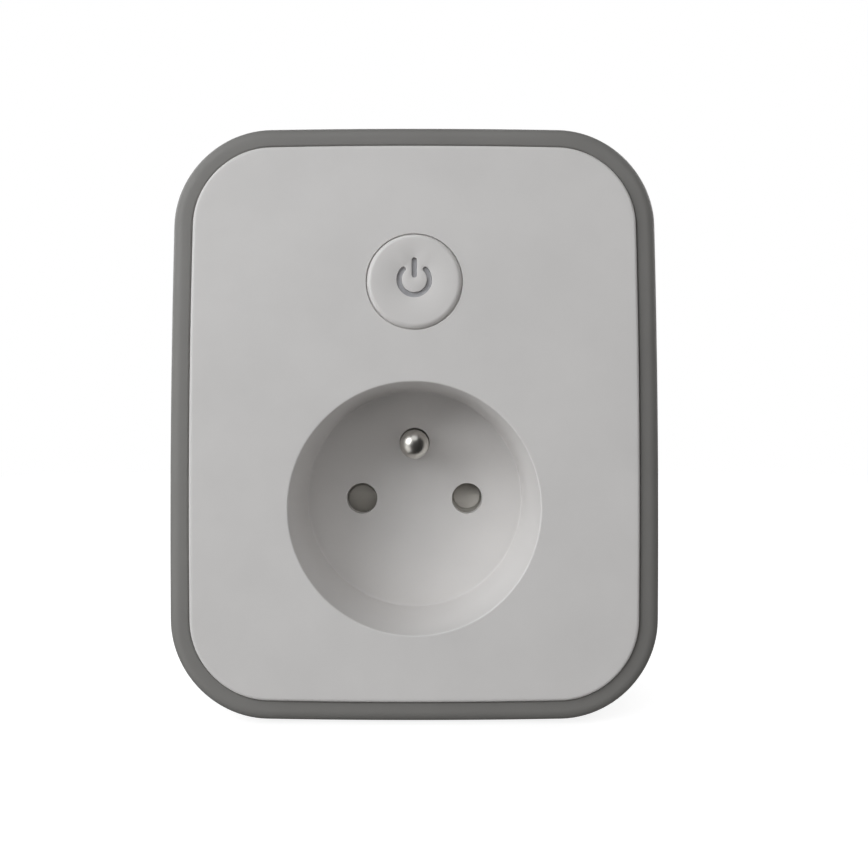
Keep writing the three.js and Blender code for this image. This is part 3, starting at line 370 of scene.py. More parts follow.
def boss_outline(
    radius,
    notch_half=2.75,
    notch_floor=16.2,
    groove_half=4.0,
    groove_floor=16.6,
    widest=BOSS_RADIUS,
):
    """The plug boss's section: a circle of the widest radius with a notch at each side and a
    groove above and below, its corners softened, and every point that lies further out than radius
    pulled in to it."""
    notch_angle = math.degrees(math.asin(notch_half / widest))
    groove_angle = math.degrees(math.acos(groove_half / widest))
    quarter = profile(
        (notch_floor, notch_half),
        bend((0, 0), widest, notch_angle, groove_angle, 25),
        (groove_half, groove_floor),
    )
    mirrored = quarter[::-1] * (-1, 1)
    loop = softened(np.concatenate((quarter, mirrored, -quarter, -mirrored)), 0.35)
    reach = np.linalg.norm(loop, axis=1, keepdims=True)
    return loop * np.minimum(1, radius / reach)


def vent_outlines(inset):
    """The vents' outlines: rows of short slots with round ends, left and right of the middle."""
    length, width, pitch, gap = 15, 1.5, 3.2, 4
    heights = [40 + i * pitch for i in range(4)] + [-24 - i * pitch for i in range(2)]
    x = (length + gap) / 2
    return [
        rounded(length, width, width / 2 - 0.01, 0, inset, side * x, z, 6, 3)
        for z in heights for side in (-1, 1)
    ]


def rear_cover(material):
    """Rear tray with a round edge, vents, a blank recess, screw wells and the hollow boss."""
    foot, turn = 0.25, 0.18
    side, shoulder_width, shoulder_depth = 0.35, 2.25, 1.9
    front_edge = FRAME_BACK + 0.3
    sweep = np.radians(np.linspace(0, 90, 12))
    shoulder = np.stack(
        (side + shoulder_width * (1 - np.cos(sweep)),
         REAR - shoulder_depth + shoulder_depth * np.sin(sweep)),
        1,
    )
    back_edge = side + shoulder_width + LAND
    outside = profile(
        (INSIDE, REAR_INSIDE), (INSIDE, front_edge),
        bend((side + foot, front_edge + foot), foot, 270, 180, 5), shoulder, (back_edge, REAR),
    )
    lip_out, lip_in, lip_front = 2.75, 4.0, -21.6
    lip = [
        (lip_out, lip_front), (lip_out, REAR_INSIDE + 0.1),
        (lip_in, REAR_INSIDE + 0.1), (lip_in, lip_front),
    ]
    skin = [carried(outside, case_outline), carried(lip, case_outline, ring=True)]

    # Vent slots and the strap's slots go right through.
    rounded_rim = profile((-turn - LAND, REAR), bend((-turn, REAR - turn), turn, 90, 0, 4))
    vent_wall = profile(rounded_rim, (0, REAR_INSIDE))
    for rings in zip(*(vent_outlines(inset) for inset, _ in vent_wall)):
        skin.append(loft([at_depth(ring, y) for ring, (_, y) in zip(rings, vent_wall)]))
    strap_slots = [rounded(7.2, 1.1, 0.2, 0, 0, 0, way * 17.25, 4, 3) for way in (-1, 1)]
    skin += [loft([at_depth(slot, REAR), at_depth(slot, REAR_INSIDE)]) for slot in strap_slots]

    # A well and a socket for each case screw.
    head, hole, socket = 3.4, 1.7, 4.7
    well = profile(
        (head + turn + LAND, REAR), bend((head + turn, REAR - turn), turn, 90, 180, 5),
        (head, SCREW_FLOOR), (hole, SCREW_FLOOR), (hole, POST_END + 0.3),
        (socket, POST_END + 0.3), (socket, REAR_INSIDE),
    )
    skin += [turned(well, x, z, 48) for x, z in CASE_SCREWS]

    # The blank recess for a rating plate.
    def recess(inset):
        return rounded(44, 11.5, 1.5, 0, inset, 0, 27.5, 8, 5)

    recess_floor = REAR - 0.4
    recess_wall = profile(rounded_rim, (0, recess_floor))
    skin += [carried(recess_wall, recess), flat(recess_floor, recess(0))]

    # The boss outside, its end and its hollow.
    tip, end_thickness = 0.8, 3
    rounding = bend((BOSS_RADIUS - tip, PLUG_FACE - tip), tip, 0, 90, 9)
    end_radius = BOSS_RADIUS - tip - LAND
    outer = [at_depth(boss_outline(BOSS_RADIUS), REAR)]
    for radius, y in profile(rounding, (end_radius, PLUG_FACE)):
        outer.append(at_depth(boss_outline(radius), y))
    end_inside = PLUG_FACE - end_thickness
    hollow = boss_outline(16.6, 4.6, 14.4, 5.8, 14.8, widest=16.6)

    pin_hole = PIN_RADIUS + 0.15
    holes = [(pin_hole, -PIN_X, 0), (pin_hole, PIN_X, 0), (EARTH_BORE, 0, EARTH_Z)]
    edge = 0.15
    for radius, x, z in holes:
        bore = profile(
            (radius + edge + LAND, PLUG_FACE),
            bend((radius + edge, PLUG_FACE - edge), edge, 90, 180, 5),
            (radius, end_inside),
        )
        skin.append(turned(bore, x, z, 64))
    rims = [circle(radius + edge + LAND, x, z, 64) for radius, x, z in holes]
    inner_rims = [circle(radius, x, z, 64) for radius, x, z in holes]
    well_rims = [circle(well[0][0], x, z, 48) for x, z in CASE_SCREWS]
    socket_rims = [circle(socket, x, z, 48) for x, z in CASE_SCREWS]
    skin += [
        loft(outer),
        loft([at_depth(hollow, REAR_INSIDE), at_depth(hollow, end_inside)]),
        flat(PLUG_FACE, boss_outline(end_radius), *rims),
        flat(end_inside, hollow, *inner_rims),
        flat(REAR, case_outline(back_edge), boss_outline(BOSS_RADIUS), recess(-turn - LAND),
             *strap_slots, *vent_outlines(-turn - LAND), *well_rims),
        flat(REAR_INSIDE, case_outline(INSIDE), hollow, *strap_slots, *vent_outlines(0),
             *socket_rims),
    ]
    # Posts for the main board's screws and the pin carrier's.
    for x, z in ((30.5, 25), (-30.5, 40.5)):
        skin.append(post(2.8, 1.4, REAR_INSIDE + 0.1, -20.2, -17, x, z))
    for x in (-7, 7):
        skin.append(post(2.6, 1.4, -2.9, -5, -1.6, x, -10))
    return build("rear_cover_shell", skin, material, replaces=["rear_cover"])


SYMBOL_Z = BUTTON_Z + 0.22
SYMBOL_STROKE = 0.85


def symbol_outlines(stroke):
    """The on and off symbol as two outlines: an open ring whose ends are half circles, and a bar
    with round ends."""
    radius, gap, low, high = 2.42, 47, 0.3, 3.54
    half = stroke / 2
    start, stop = 90 + gap, 450 - gap
    middle = (0, SYMBOL_Z)
    stop_end, start_end = bend(middle, radius, stop, start, 2)
    ring = profile(
        bend(middle, radius + half, start, stop, 72),
        bend(stop_end, half, stop, stop + 180, 12)[1:-1],
        bend(middle, radius - half, stop, start, 72),
        bend(start_end, half, start + 180, start + 360, 12)[1:-1],
    )
    length = high - low - (SYMBOL_STROKE - stroke)
    bar = rounded(stroke, length, half - 0.005, 0, 0, 0, SYMBOL_Z + (high + low) / 2, 10, 4)
    return [ring, bar]


def button_cap(material):
    """The button's cap: a shallow cup with a soft edge and a flange, pierced by the symbol."""
    edge, land, ledge, hollow, soft = 0.8, 0.08, 0.1, 6.5, 0.07
    front, back = CAP_LOW[1], CAP_HIGH[1]
    web = FRONT + 1.2
    flange_radius, flange_front = CAP_RADIUS + CAP_FLANGE, back - 1
    outside = profile(
        (CAP_RADIUS - edge - land, front),
        bend((CAP_RADIUS - edge, front + edge), edge, 270, 360, 13),
        (CAP_RADIUS, front + edge + 0.03), (CAP_RADIUS + ledge, front + edge + 0.1),
        (CAP_RADIUS + ledge, flange_front), (flange_radius, flange_front), (flange_radius, back),
        (hollow, back), (hollow, web),
    )
    skin = [turned(outside, 0, BUTTON_Z)]
    strokes = [
        (SYMBOL_STROKE + 2 * soft, front), (SYMBOL_STROKE + 0.6 * soft, front + 0.3 * soft),
        (SYMBOL_STROKE, front + soft), (SYMBOL_STROKE, web),
    ]
    shapes = [symbol_outlines(stroke) for stroke, _ in strokes]
    for rings in zip(*shapes):
        skin.append(loft([at_depth(ring, y) for ring, (_, y) in zip(rings, strokes)]))
    skin += [
        flat(front, circle(outside[0][0], 0, BUTTON_Z), *shapes[0]),
        flat(web, circle(hollow, 0, BUTTON_Z), *shapes[-1]),
    ]
    return build(
        "button_cap_moulding", skin, material, "power_button", ["button_cap"]
    )


def light_guide(material):
    """The clear moulding: a disc with the symbol standing on its front and the presser behind."""
    low, high = node_box("button_light_guide")
    disc_front, disc_back, disc_radius, rim, presser = FRONT + 1.35, FRONT + 2.8, 6.2, 0.1, 2
    stalk = [(0, disc_back), (presser, disc_back), (presser, high[1]), (0, high[1])]
    disc = [
        (0, disc_front), (disc_radius - rim, disc_front), (disc_radius, disc_front + rim),
        (disc_radius, disc_back), (0, disc_back),
    ]
    skin = [turned(stalk, 0, BUTTON_Z, 48), turned(disc, 0, BUTTON_Z, 96)]
    for ring, core in zip(symbol_outlines(0.8), symbol_outlines(0.7)):
        sides = [at_depth(core, low[1]), at_depth(ring, low[1] + 0.06), at_depth(ring, disc_front)]
        skin += [loft(sides), flat(low[1], core), flat(disc_front, ring)]
    return build(
        "button_light_guide_moulding", skin, material, "power_button",
        ["button_light_guide"],
    )


def pin(node, x, z, points, material):
    """A turned pin that stands for a node."""
    skin = [turned(points, x, z, 96)]
    return build(node + "_turning", skin, material, replaces=[node])


def pins(material):
    """The socket's earth pin and the plug's two pins: round noses, a flange and a thinner tail."""
    rim, flange, tail = 0.1, 4, 1.9
    tip, end = EARTH_LOW[1], EARTH_HIGH[1]
    front = WELL_BACK + 0.3
    back = front + 1.5
    earth = profile(
        (0, tip), bend((0, tip + PIN_RADIUS), PIN_RADIUS, 270, 360, 18)[1:],
        (PIN_RADIUS, front), (flange - rim, front), (flange, front + rim), (flange, back),
        (tail, back), (tail, end - 0.3), (tail - 0.3, end), (0, end),
    )
    pin("earth_pin", 0, EARTH_Z, earth, material)

    flange, tail = 3.6, 1.7
    low, high = node_box("line_pin")
    end, tip = low[1], high[1]
    front = PIN_FLANGE_Y
    back = front + 1.6
    plug = profile(
        (0, end), (tail - 0.2, end), (tail, end + 0.2), (tail, front),
        (flange - rim, front), (flange, front + rim), (flange, back), (PIN_RADIUS, back),
        bend((0, tip - PIN_RADIUS), PIN_RADIUS, 0, 90, 18)[:-1], (0, tip),
    )
    for side, node in ((1, "line_pin"), (-1, "neutral_pin")):
        pin(node, side * PIN_X, 0, plug, material)


def screw(node, seat, sign, head, head_radius, shank, shank_radius, material):
    """A pan-head screw: a domed head with a cross recess, and a thread whose radius rises and
    falls along the shank. The head's height is a quarter ellipse of the radius, less the recess
    depth where the smaller of the two distances to the cross's arms is within an arm. The thread
    is a triangle wave of the depth less one pitch a turn."""
    low, high = node_box(node)
    x, z = (low[0] + high[0]) / 2, (low[2] + high[2]) / 2
    columns, head_rows, rows_a_turn = 72, 26, 8
    rim_share, thread_depth = 0.45, 0.3
    angle = np.linspace(0, 2 * math.pi, columns, endpoint=False)[None, :]
    radius = np.linspace(0, head_radius, head_rows)[:, None]
    out = radius / head_radius
    across, up = radius * np.cos(angle), radius * np.sin(angle)
    dome = head * (rim_share + (1 - rim_share) * np.sqrt(np.clip(1 - out**2, 0, 1)))
    arm, reach = head_radius * 0.13, head_radius * 0.6
    beside = np.minimum(np.abs(across), np.abs(up))
    into = np.clip((arm - beside) / (0.35 * arm), 0, 1) * np.clip((reach - radius) / 0.2, 0, 1)
    top = np.stack((across, dome - into * head * 0.5 * (1 - out * 0.5), up), -1)
    pitch = shank_radius * 0.85
    depth = np.linspace(0, shank, int(shank / pitch * rows_a_turn))[:, None]
    wave = np.abs(((depth / pitch - angle / (2 * math.pi)) % 1) * 2 - 1)
    taper = np.clip((shank - depth) / (2 * shank_radius), 0.12, 1)
    ridge = thread_depth * wave * np.clip(depth / pitch, 0, 1)
    bulk = (shank_radius - thread_depth + ridge) * taper
    thread = np.stack((bulk * np.cos(angle), -depth + 0 * angle, bulk * np.sin(angle)), -1)
    rim = np.stack((head_radius * np.cos(angle), 0 * angle, head_radius * np.sin(angle)), -1)
    tip = np.stack((0 * angle, -shank + 0 * angle, 0 * angle), -1)
    points, faces = loft(np.concatenate((top, rim, thread, tip)))
    points = points * (1, -sign, 1) + (x, seat, z)
    return build(node + "_threaded", [(points, faces)], material, replaces=[node], sharp=30)


def screws(material):
    """The case, contact block, pin carrier and board screws. Each entry gives how many there are,
    the seat, which way the shank points, the head's height and radius, and the shank's length and
    radius."""
    kinds = {
        "case_screw": (4, -19.2, -1, 2.2, 2.8, 12.5, 1.4),
        "contact_block_screw": (2, WELL_BACK + 3.3, -1, 1.6, 2.2, 6.5, 1.1),
        "pin_carrier_screw": (2, -13.1, 1, 1.6, 2.2, 11, 1.1),
        "main_board_screw": (2, -22.1, 1, 1.5, 2.1, 4.2, 1.05),
    }
    for kind, (count, *sizes) in kinds.items():
        for number in range(1, count + 1):
            screw(f"{kind}_{number}", *sizes, material)


def sprung_strip(path, width, thickness, corner=1.2, steps=8):
    """A bent strip in the y and z plane, centred on x = 0: a section with round edges is carried
    along the path, and the ends close onto the middle. path lists [y, z]; its corners are rounded
    with the same curve as an outline's."""
    path = np.array(path, float)
    before, inner, after = path[:-2], path[1:-1], path[2:]
    t = np.linspace(0, 1, steps)[None, :, None]

    def towards(other):
        edge = other - inner
        length = np.linalg.norm(edge, axis=1, keepdims=True)
        return (inner + edge * np.minimum(corner / length, 0.48))[:, None]

    start, stop = (1 - t) ** 2 * towards(before), t**2 * towards(after)
    curve = start + 2 * t * (1 - t) * inner[:, None] + stop
    line = np.concatenate((path[:1], curve.reshape(-1, 2), path[-1:]))
    along = np.gradient(line, axis=0)
    along /= np.linalg.norm(along, axis=1, keepdims=True)
    normal = np.stack((-along[:, 1], along[:, 0]), 1)
    section = rounded(width, thickness, thickness * 0.4, 0, 0, 0, 0, 5, 3)
    rows = np.concatenate((line[:1], line, line[-1:]))[:, None]
    normals = np.concatenate((normal[:1], normal, normal[-1:]))[:, None]
    size = np.ones((len(rows), 1, 1))
    size[[0, -1]] = 0
    place = rows + normals * section[None, :, 1:] * size
    return loft(np.concatenate((section[None, :, :1] * size + 0 * place[..., :1], place), -1))


def earth_parts(nickel, brass):
    """The plug's earth strap, one strip from leg to leg, and the leaf in the earth bore."""
    half = [(-1.6, 17.2), (-2.4, 17.3), (-7, 17.5), (-12, 17.2), (-18.9, 17.2)]
    strap = sprung_strip(half + [(y, -z) for y, z in half[::-1]], 6.4, 0.7)
    build("plug_earth_strap_pressing", [strap], nickel, replaces=["plug_earth_strap"])
    low = EARTH_Z + 2.35
    bends = [(-18.2, low + 0.9), (-13.5, low + 0.9), (-9, low + 0.25), (-5.6, low + 1)]
    leaf = sprung_strip(bends, 3, 0.5)
    build("plug_earth_leaf_pressing", [leaf], brass, replaces=["plug_earth_leaf"])


# --------------------------------------------------------------------------------------------------
# Finishes
# --------------------------------------------------------------------------------------------------


class Finish:
    """A material under construction: a surface shader with helpers for the nodes that vary it."""

    def __init__(self, name, colour, roughness, metallic=0.0):
        self.material = bpy.data.materials.new(name)
        self.material.use_nodes = True
        self.nodes, self.links = self.material.node_tree.nodes, self.material.node_tree.links
        self.shader = self.nodes["Principled BSDF"]
        self.shader.inputs["Base Color"].default_value = (*colour, 1)
        self.shader.inputs["Roughness"].default_value = roughness
        self.shader.inputs["Metallic"].default_value = metallic
        self.place = self.nodes.new("ShaderNodeTexCoord").outputs["Object"]

    def noise(self, size_mm, detail=3.0, stretch=(1, 1, 1)):
        """Cloudy noise whose lumps are about size_mm across, stretched along the axes."""
        mapping = self.nodes.new("ShaderNodeMapping")
        mapping.inputs["Scale"].default_value = [1 / (size_mm * MM * times) for times in stretch]
        self.links.new(self.place, mapping.inputs["Vector"])
        texture = self.nodes.new("ShaderNodeTexNoise")
        texture.inputs["Scale"].default_value = 1
        texture.inputs["Detail"].default_value = detail
        self.links.new(mapping.outputs["Vector"], texture.inputs["Vector"])
        return texture.outputs["Fac"]

    def ranged(self, source, low, high, start=0.3, stop=0.7):
        """source, mapped from start..stop to low..high."""
        node = self.nodes.new("ShaderNodeMapRange")
        node.inputs["From Min"].default_value, node.inputs["From Max"].default_value = start, stop
        node.inputs["To Min"].default_value, node.inputs["To Max"].default_value = low, high
        self.links.new(source, node.inputs["Value"])
        return node.outputs["Result"]

    def mixed(self, factor, first, second):
        """A colour that goes from first to second with factor. Each is a colour or another node's
        output."""
        node = self.nodes.new("ShaderNodeMix")
        node.data_type = "RGBA"
        self.links.new(factor, node.inputs["Factor"])
        colour_sockets = [entry for entry in node.inputs if entry.type == "RGBA"]
        for socket, value in zip(colour_sockets, (first, second)):
            if isinstance(value, bpy.types.NodeSocket):
                self.links.new(value, socket)
            else:
                socket.default_value = (*value, 1)
        return next(entry for entry in node.outputs if entry.type == "RGBA")

    def edges(self, radius_mm):
        """1 on rounded edges and 0 on open faces: how far the normal of a softened edge turns from
        the face's own. It masks a painted edge highlight."""
        bevel = self.nodes.new("ShaderNodeBevel")
        bevel.samples = 4
        bevel.inputs["Radius"].default_value = radius_mm * MM
        geometry = self.nodes.new("ShaderNodeNewGeometry")
        dot = self.nodes.new("ShaderNodeVectorMath")
        dot.operation = "DOT_PRODUCT"
        self.links.new(bevel.outputs["Normal"], dot.inputs[0])
        self.links.new(geometry.outputs["Normal"], dot.inputs[1])
        return self.ranged(dot.outputs["Value"], 1, 0, 0.82, 0.995)

    def bump(self, height, depth_mm, strength=1.0):
        """Relief of depth_mm from a height."""
        node = self.nodes.new("ShaderNodeBump")
        node.inputs["Strength"].default_value = strength
        node.inputs["Distance"].default_value = depth_mm * MM
        self.links.new(height, node.inputs["Height"])
        self.links.new(node.outputs["Normal"], self.shader.inputs["Normal"])

    def drive(self, socket, source):
        """Links source to one of the shader's sockets."""
        self.links.new(source, self.shader.inputs[socket])


def moulded(name, colour, roughness, grain_mm=0.22, grain_depth=0.012, drift=0.05, edge_highlight=0.06):
    """Moulded plastic: spark-eroded grain, slow colour drift, uneven sheen, and a painted
    highlight: a paler colour along every softened edge."""
    finish = Finish(name, colour, roughness)
    slow, fine = finish.noise(14, 4), finish.noise(grain_mm, 2)
    darker = [part * (1 - drift) for part in colour]
    # Painted highlight: the colour is made paler along every softened edge.
    painted_highlight = [min(1, part * (1 + edge_highlight * 2)) for part in colour]
    body = finish.mixed(finish.ranged(slow, 0, 1), darker, colour)
    finish.drive("Base Color", finish.mixed(finish.edges(0.25), body, painted_highlight))
    uneven = finish.noise(3.5, 5)
    finish.drive("Roughness", finish.ranged(uneven, roughness - 0.06, roughness + 0.06))
    finish.bump(fine, grain_depth)
    return finish.material


def plated(name, colour, roughness, scratch=(1, 14, 1)):
    """Plated or rolled metal: fine lines along one way, cloudy roughness, slightly dull spots."""
    finish = Finish(name, colour, roughness, metallic=1.0)
    cloudy, lines = finish.noise(2.2, 5), finish.noise(0.06, 2, scratch)
    duller = [part * 0.96 for part in colour]
    finish.drive("Base Color", finish.mixed(finish.ranged(cloudy, 0, 1), duller, colour))
    finish.drive("Roughness", finish.ranged(cloudy, roughness - 0.03, roughness + 0.04))
    finish.bump(lines, 0.0012)
    return finish.material


TRACK_PITCH = 2.5  # in millimetres


def circuit_board(name):
    """Solder mask over glass fibre: dark green with paler tracks where copper lies under it."""
    finish = Finish(name, (0.02, 0.16, 0.06), 0.32)
    mapping = finish.nodes.new("ShaderNodeMapping")
    mapping.inputs["Scale"].default_value = [1 / MM / TRACK_PITCH] * 3
    finish.links.new(finish.place, mapping.inputs["Vector"])
    cells = finish.nodes.new("ShaderNodeTexVoronoi")
    cells.distance = "MANHATTAN"
    cells.feature = "F1"
    finish.links.new(mapping.outputs["Vector"], cells.inputs["Vector"])
    track = finish.ranged(cells.outputs["Distance"], 1, 0, 0.32, 0.36)
    finish.drive("Base Color", finish.mixed(track, (0.012, 0.10, 0.04), (0.03, 0.22, 0.09)))
    finish.drive("Roughness", finish.ranged(finish.noise(1.5, 4), 0.26, 0.4))
    finish.bump(track, 0.02, 0.6)
    return finish.material


def milky_guide(name):
    """The light guide's milky plastic, unlit: grey with a slight depth and a soft gloss."""
    finish = Finish(name, (0.46, 0.46, 0.48), 0.35)
    cloudy = finish.ranged(finish.noise(0.8, 4), 0, 1)
    finish.drive("Base Color", finish.mixed(cloudy, (0.42, 0.42, 0.44), (0.50, 0.50, 0.52)))
    finish.drive("Roughness", finish.ranged(finish.noise(0.4, 3), 0.28, 0.45))
    finish.bump(finish.noise(0.3, 2), 0.006)
    return finish.material


WHITE = (0.80, 0.784, 0.773)
GREY = (0.25, 0.244, 0.234)
# For a moulded finish, the seventh argument, where given, sets the strength of its painted edge
# highlight.
FINISHES = {
    "white_shell": moulded("satin_white_plastic", WHITE, 0.42),
    "grey_shell": moulded("matt_grey_plastic", GREY, 0.55, 0.28, 0.016, 0.07, 0.10),
    "button_white": moulded("button_white_plastic", (0.80, 0.782, 0.77), 0.38, 0.18, 0.006, 0.03),
    "light_guide": milky_guide("milky_light_guide"),
    "liner": moulded("thermoset_liner", (0.60, 0.585, 0.53), 0.5, 0.4, 0.02),
    "shutter_grey": moulded("shutter_grey_plastic", (0.58, 0.558, 0.514), 0.5, 0.5, 0.01),
    "nickel": plated("bright_nickel", (0.66, 0.64, 0.60), 0.31),
    "brass": plated("rolled_brass", (0.78, 0.58, 0.28), 0.28),
    "copper": plated("drawn_copper", (0.78, 0.40, 0.24), 0.3),
    "spring_steel": plated("spring_steel", (0.56, 0.56, 0.57), 0.3),
    "zinc": plated("bright_zinc", (0.66, 0.68, 0.70), 0.3, (3, 3, 3)),
    "board": circuit_board("solder_mask"),
    "black_plastic": moulded("black_moulding", (0.022, 0.022, 0.025), 0.5, 0.3, 0.015, 0.2, 0.4),
    "can_sleeve": moulded("shrunk_sleeve", (0.03, 0.03, 0.036), 0.3, 0.6, 0.01, 0.2, 0.3),
    "blue_epoxy": moulded("dipped_epoxy", (0.03, 0.10, 0.34), 0.28, 1.2, 0.03, 0.15),
    "yellow_case": moulded("yellow_case_plastic", (0.62, 0.42, 0.06), 0.42, 0.3, 0.012),
    "tape": moulded("polyester_tape", (0.70, 0.50, 0.08), 0.3, 0.9, 0.02),
    "ferrite": moulded("sintered_ferrite", (0.030, 0.030, 0.033), 0.62, 0.12, 0.02, 0.25, 0.3),
    "resistor_body": moulded("resistor_coating", (0.10, 0.20, 0.13), 0.45, 0.5, 0.02),
    "lamp_lens": moulded("lamp_epoxy", (0.72, 0.70, 0.52), 0.22, 0.6, 0.005),
}

# --------------------------------------------------------------------------------------------------
# The inside: the frame's own solids with their edges softened
# --------------------------------------------------------------------------------------------------

BODIES = frame["record"]["behaviour"]["bodies"]
BODY_OF = {node: body for body, names in BODIES.items() for node in names}
SLOT_OF = {entry["node"]: entry["material_slot"] for entry in frame["record"]["subparts"]}
EDGE_RADIUS = {
    "shutter_rotor": 0.25, "contact_block": 0.3, "pin_carrier": 0.3, "button_board": 0.08,
    "main_board": 0.08, "radio_board": 0.08, "radio_shield": 0.25, "relay_cover": 0.3,
    "relay_base": 0.2, "relay_yoke": 0.15, "relay_armature": 0.12, "relay_coil": 0.12,
    "noise_capacitor": 0.4, "varistor": 0.3, "fusible_resistor": 0.12, "transformer_core": 0.2,
    "transformer_winding": 0.3, "choke": 0.2, "input_capacitor": 0.15, "output_capacitor": 0.15,
    "tact_switch": 0.15, "tact_plunger": 0.2, "status_led": 0.12, "board_link_header": 0.1,
    "line_contact": 0.12, "neutral_contact": 0.12, "line_out_bar": 0.12, "neutral_out_bar": 0.12,
    "line_in_bar": 0.12, "neutral_in_bar": 0.12, "current_shunt": 0.1, "rectifier": 0.06,
    "metering_chip": 0.06, "regulator_chip": 0.06,
}


def soften(node, radius_mm):
    """A copy of a node's solid whose flat faces are joined up again and whose edges are rounded in
    two steps."""
    merge_mm, flat_within, crisp_above, sharp_above = 0.0005, 1, 28, 32
    mesh = frame["nodes"][node].data.copy()
    mesh.name = node + "_soft"
    work = bmesh.new()
    work.from_mesh(mesh)
    bmesh.ops.remove_doubles(work, verts=work.verts, dist=merge_mm * MM)
    bmesh.ops.dissolve_limit(
        work, angle_limit=math.radians(flat_within), verts=work.verts, edges=work.edges
    )
    crisp = [
        edge for edge in work.edges
        if len(edge.link_faces) == 2 and edge.calc_face_angle() > math.radians(crisp_above)
    ]
    bmesh.ops.bevel(
        work, geom=crisp, offset=radius_mm * MM, segments=2, profile=0.5, affect="EDGES",
        clamp_overlap=True,
    )
    bmesh.ops.triangulate(work, faces=[face for face in work.faces if len(face.verts) > 4])
    work.to_mesh(mesh)
    work.free()
    mesh.polygons.foreach_set("use_smooth", np.ones(len(mesh.polygons), bool))
    mesh.set_sharp_from_angle(angle=math.radians(sharp_above))
    mesh.materials.clear()
    mesh.materials.append(FINISHES[SLOT_OF[node]])
    piece = bpy.data.objects.new(node + "_soft", mesh)
    bpy.context.scene.collection.objects.link(piece)
    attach(piece, BODY_OF[node])
    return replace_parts(piece, node)


def shutter_pads(material):
    """A round pad on each of the shutter's wings, just behind the pin holes. A disc's depth is the
    wing's, less the pad's height, which falls to nothing where the wing leans back, and a quarter
    circle rounds its rim. The left wing is the right one turned half round about the plug's axis,
    and its pad is a little larger."""
    low, _ = node_box("shutter_rotor")
    height, rim, skirt, rings = 0.36, 0.14, 1.6, 14
    wing_top, lean, lean_from = 0.5, 1 / 3, 2.4
    step = bend((-rim, rim), rim, 270, 360, 6)[1:]
    drop = np.concatenate((np.zeros(rings), step[:, 1], [skirt]))[:, None]
    angle = np.linspace(0, 2 * math.pi, 96, endpoint=False)[None, :]
    skin = []
    for side, x, z, radius in ((1, PIN_X + 0.08, 0.34, 2.5), (-1, PIN_X + 0.05, 0.45, 2.7)):
        face = np.linspace(0, radius - rim, rings)
        reach = np.concatenate((face, radius + step[:, 0], [radius]))[:, None]
        across, up = x + reach * np.cos(angle), z + reach * np.sin(angle)
        wing = np.maximum(low[1], low[1] - wing_top + (up + lean_from) * lean)
        share = np.clip((up - 0.4) / 2.2, 0, 1)
        depth = wing - height * (1 - share) + drop
        skin.append(loft(np.stack((side * across, depth, side * up), -1)))
    return build("shutter_pads", skin, material, "shutter")


def shutter_spring(material):
    """The shutter's return spring: a wire of round section carried along a helix about an upright
    axis. The height follows the share of the turns that is done, less a small sine of it, so the
    turns lie closer together at each end."""
    low, high = node_box("shutter_spring")
    x, y = (low[0] + high[0]) / 2, (low[1] + high[1]) / 2
    wire, turns, steps, sides, end_ease = 0.28, 7, 40, 12, 0.085
    coil = (high[0] - low[0]) / 2 - wire
    phase = np.linspace(0, 1, turns * steps + 1)
    angle = phase * turns * 2 * math.pi
    ease = phase - end_ease * np.sin(2 * math.pi * phase)
    height = low[2] + wire + ease * (high[2] - low[2] - 2 * wire)
    line = np.stack((x + coil * np.cos(angle), y + coil * np.sin(angle), height), 1)
    along = np.gradient(line, axis=0)
    along /= np.linalg.norm(along, axis=1, keepdims=True)
    outward = np.stack((np.cos(angle), np.sin(angle), 0 * angle), 1)
    across = np.cross(along, outward)
    turn = np.linspace(0, 2 * math.pi, sides, endpoint=False)[None, :, None]
    size = np.ones((len(line) + 2, 1, 1))
    size[[0, -1]] = 0
    rows = [0, *range(len(line)), len(line) - 1]
    ring = np.cos(turn) * outward[rows][:, None] + np.sin(turn) * across[rows][:, None]
    coils = [loft(line[rows][:, None] + wire * size * ring)]
    spring = build(
        "shutter_spring_coil", coils, material, replaces=["shutter_spring"]
    )
    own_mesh(spring)


# --------------------------------------------------------------------------------------------------
# Studio
# --------------------------------------------------------------------------------------------------

MIDDLE = Vector((0, FRONT * MM, RISE * MM))
TABLE_RADIUS, DOME_RADIUS, TABLE_GAP = 2.9, 3, 0.0004  # in metres
LIGHT_DISTANCE, LIGHT_WIDTH = 0.9, 0.75  # in metres


def light_table():
    """The table's surface: even white that glows from below and only darkens a little where the
    object shades it. Its own light rises and its colour fades with the distance from the object,
    until only the glow is left."""
    near, far, glow = 0.08, 0.7, 0.82
    finish = Finish("light_table", (0.42, 0.42, 0.42), 0.9)
    length = finish.nodes.new("ShaderNodeVectorMath")
    length.operation = "LENGTH"
    finish.links.new(finish.place, length.inputs[0])
    away = finish.ranged(length.outputs["Value"], 0, 1, near, far)
    finish.drive("Base Color", finish.mixed(away, (0.42, 0.42, 0.42), (0, 0, 0)))
    finish.shader.inputs["Specular IOR Level"].default_value = 0
    finish.shader.inputs["Emission Color"].default_value = (1, 1, 1, 1)
    finish.drive("Emission Strength", finish.ranged(away, glow, 1.0, 0, 1))
    return finish.material


def white_dome():
    """The backdrop's even white."""
    finish = Finish("white_dome", (0, 0, 0), 1)
    finish.shader.inputs["Specular IOR Level"].default_value = 0
    finish.shader.inputs["Emission Color"].default_value = (1, 1, 1, 1)
    finish.shader.inputs["Emission Strength"].default_value = 1
    return finish.material


def staged(name, surface, material):
    """Something that the camera sees but that neither lights the object nor shows in its gloss."""
    mesh = bpy.data.meshes.new(name)
    mesh.from_pydata(surface[0].tolist(), [], surface[1])
    mesh.polygons.foreach_set("use_smooth", np.ones(len(mesh.polygons), bool))
    mesh.materials.append(material)
    thing = bpy.data.objects.new(name, mesh)
    thing.visible_diffuse = thing.visible_glossy = False
    thing.visible_transmission = thing.visible_shadow = False
    bpy.context.scene.collection.objects.link(thing)


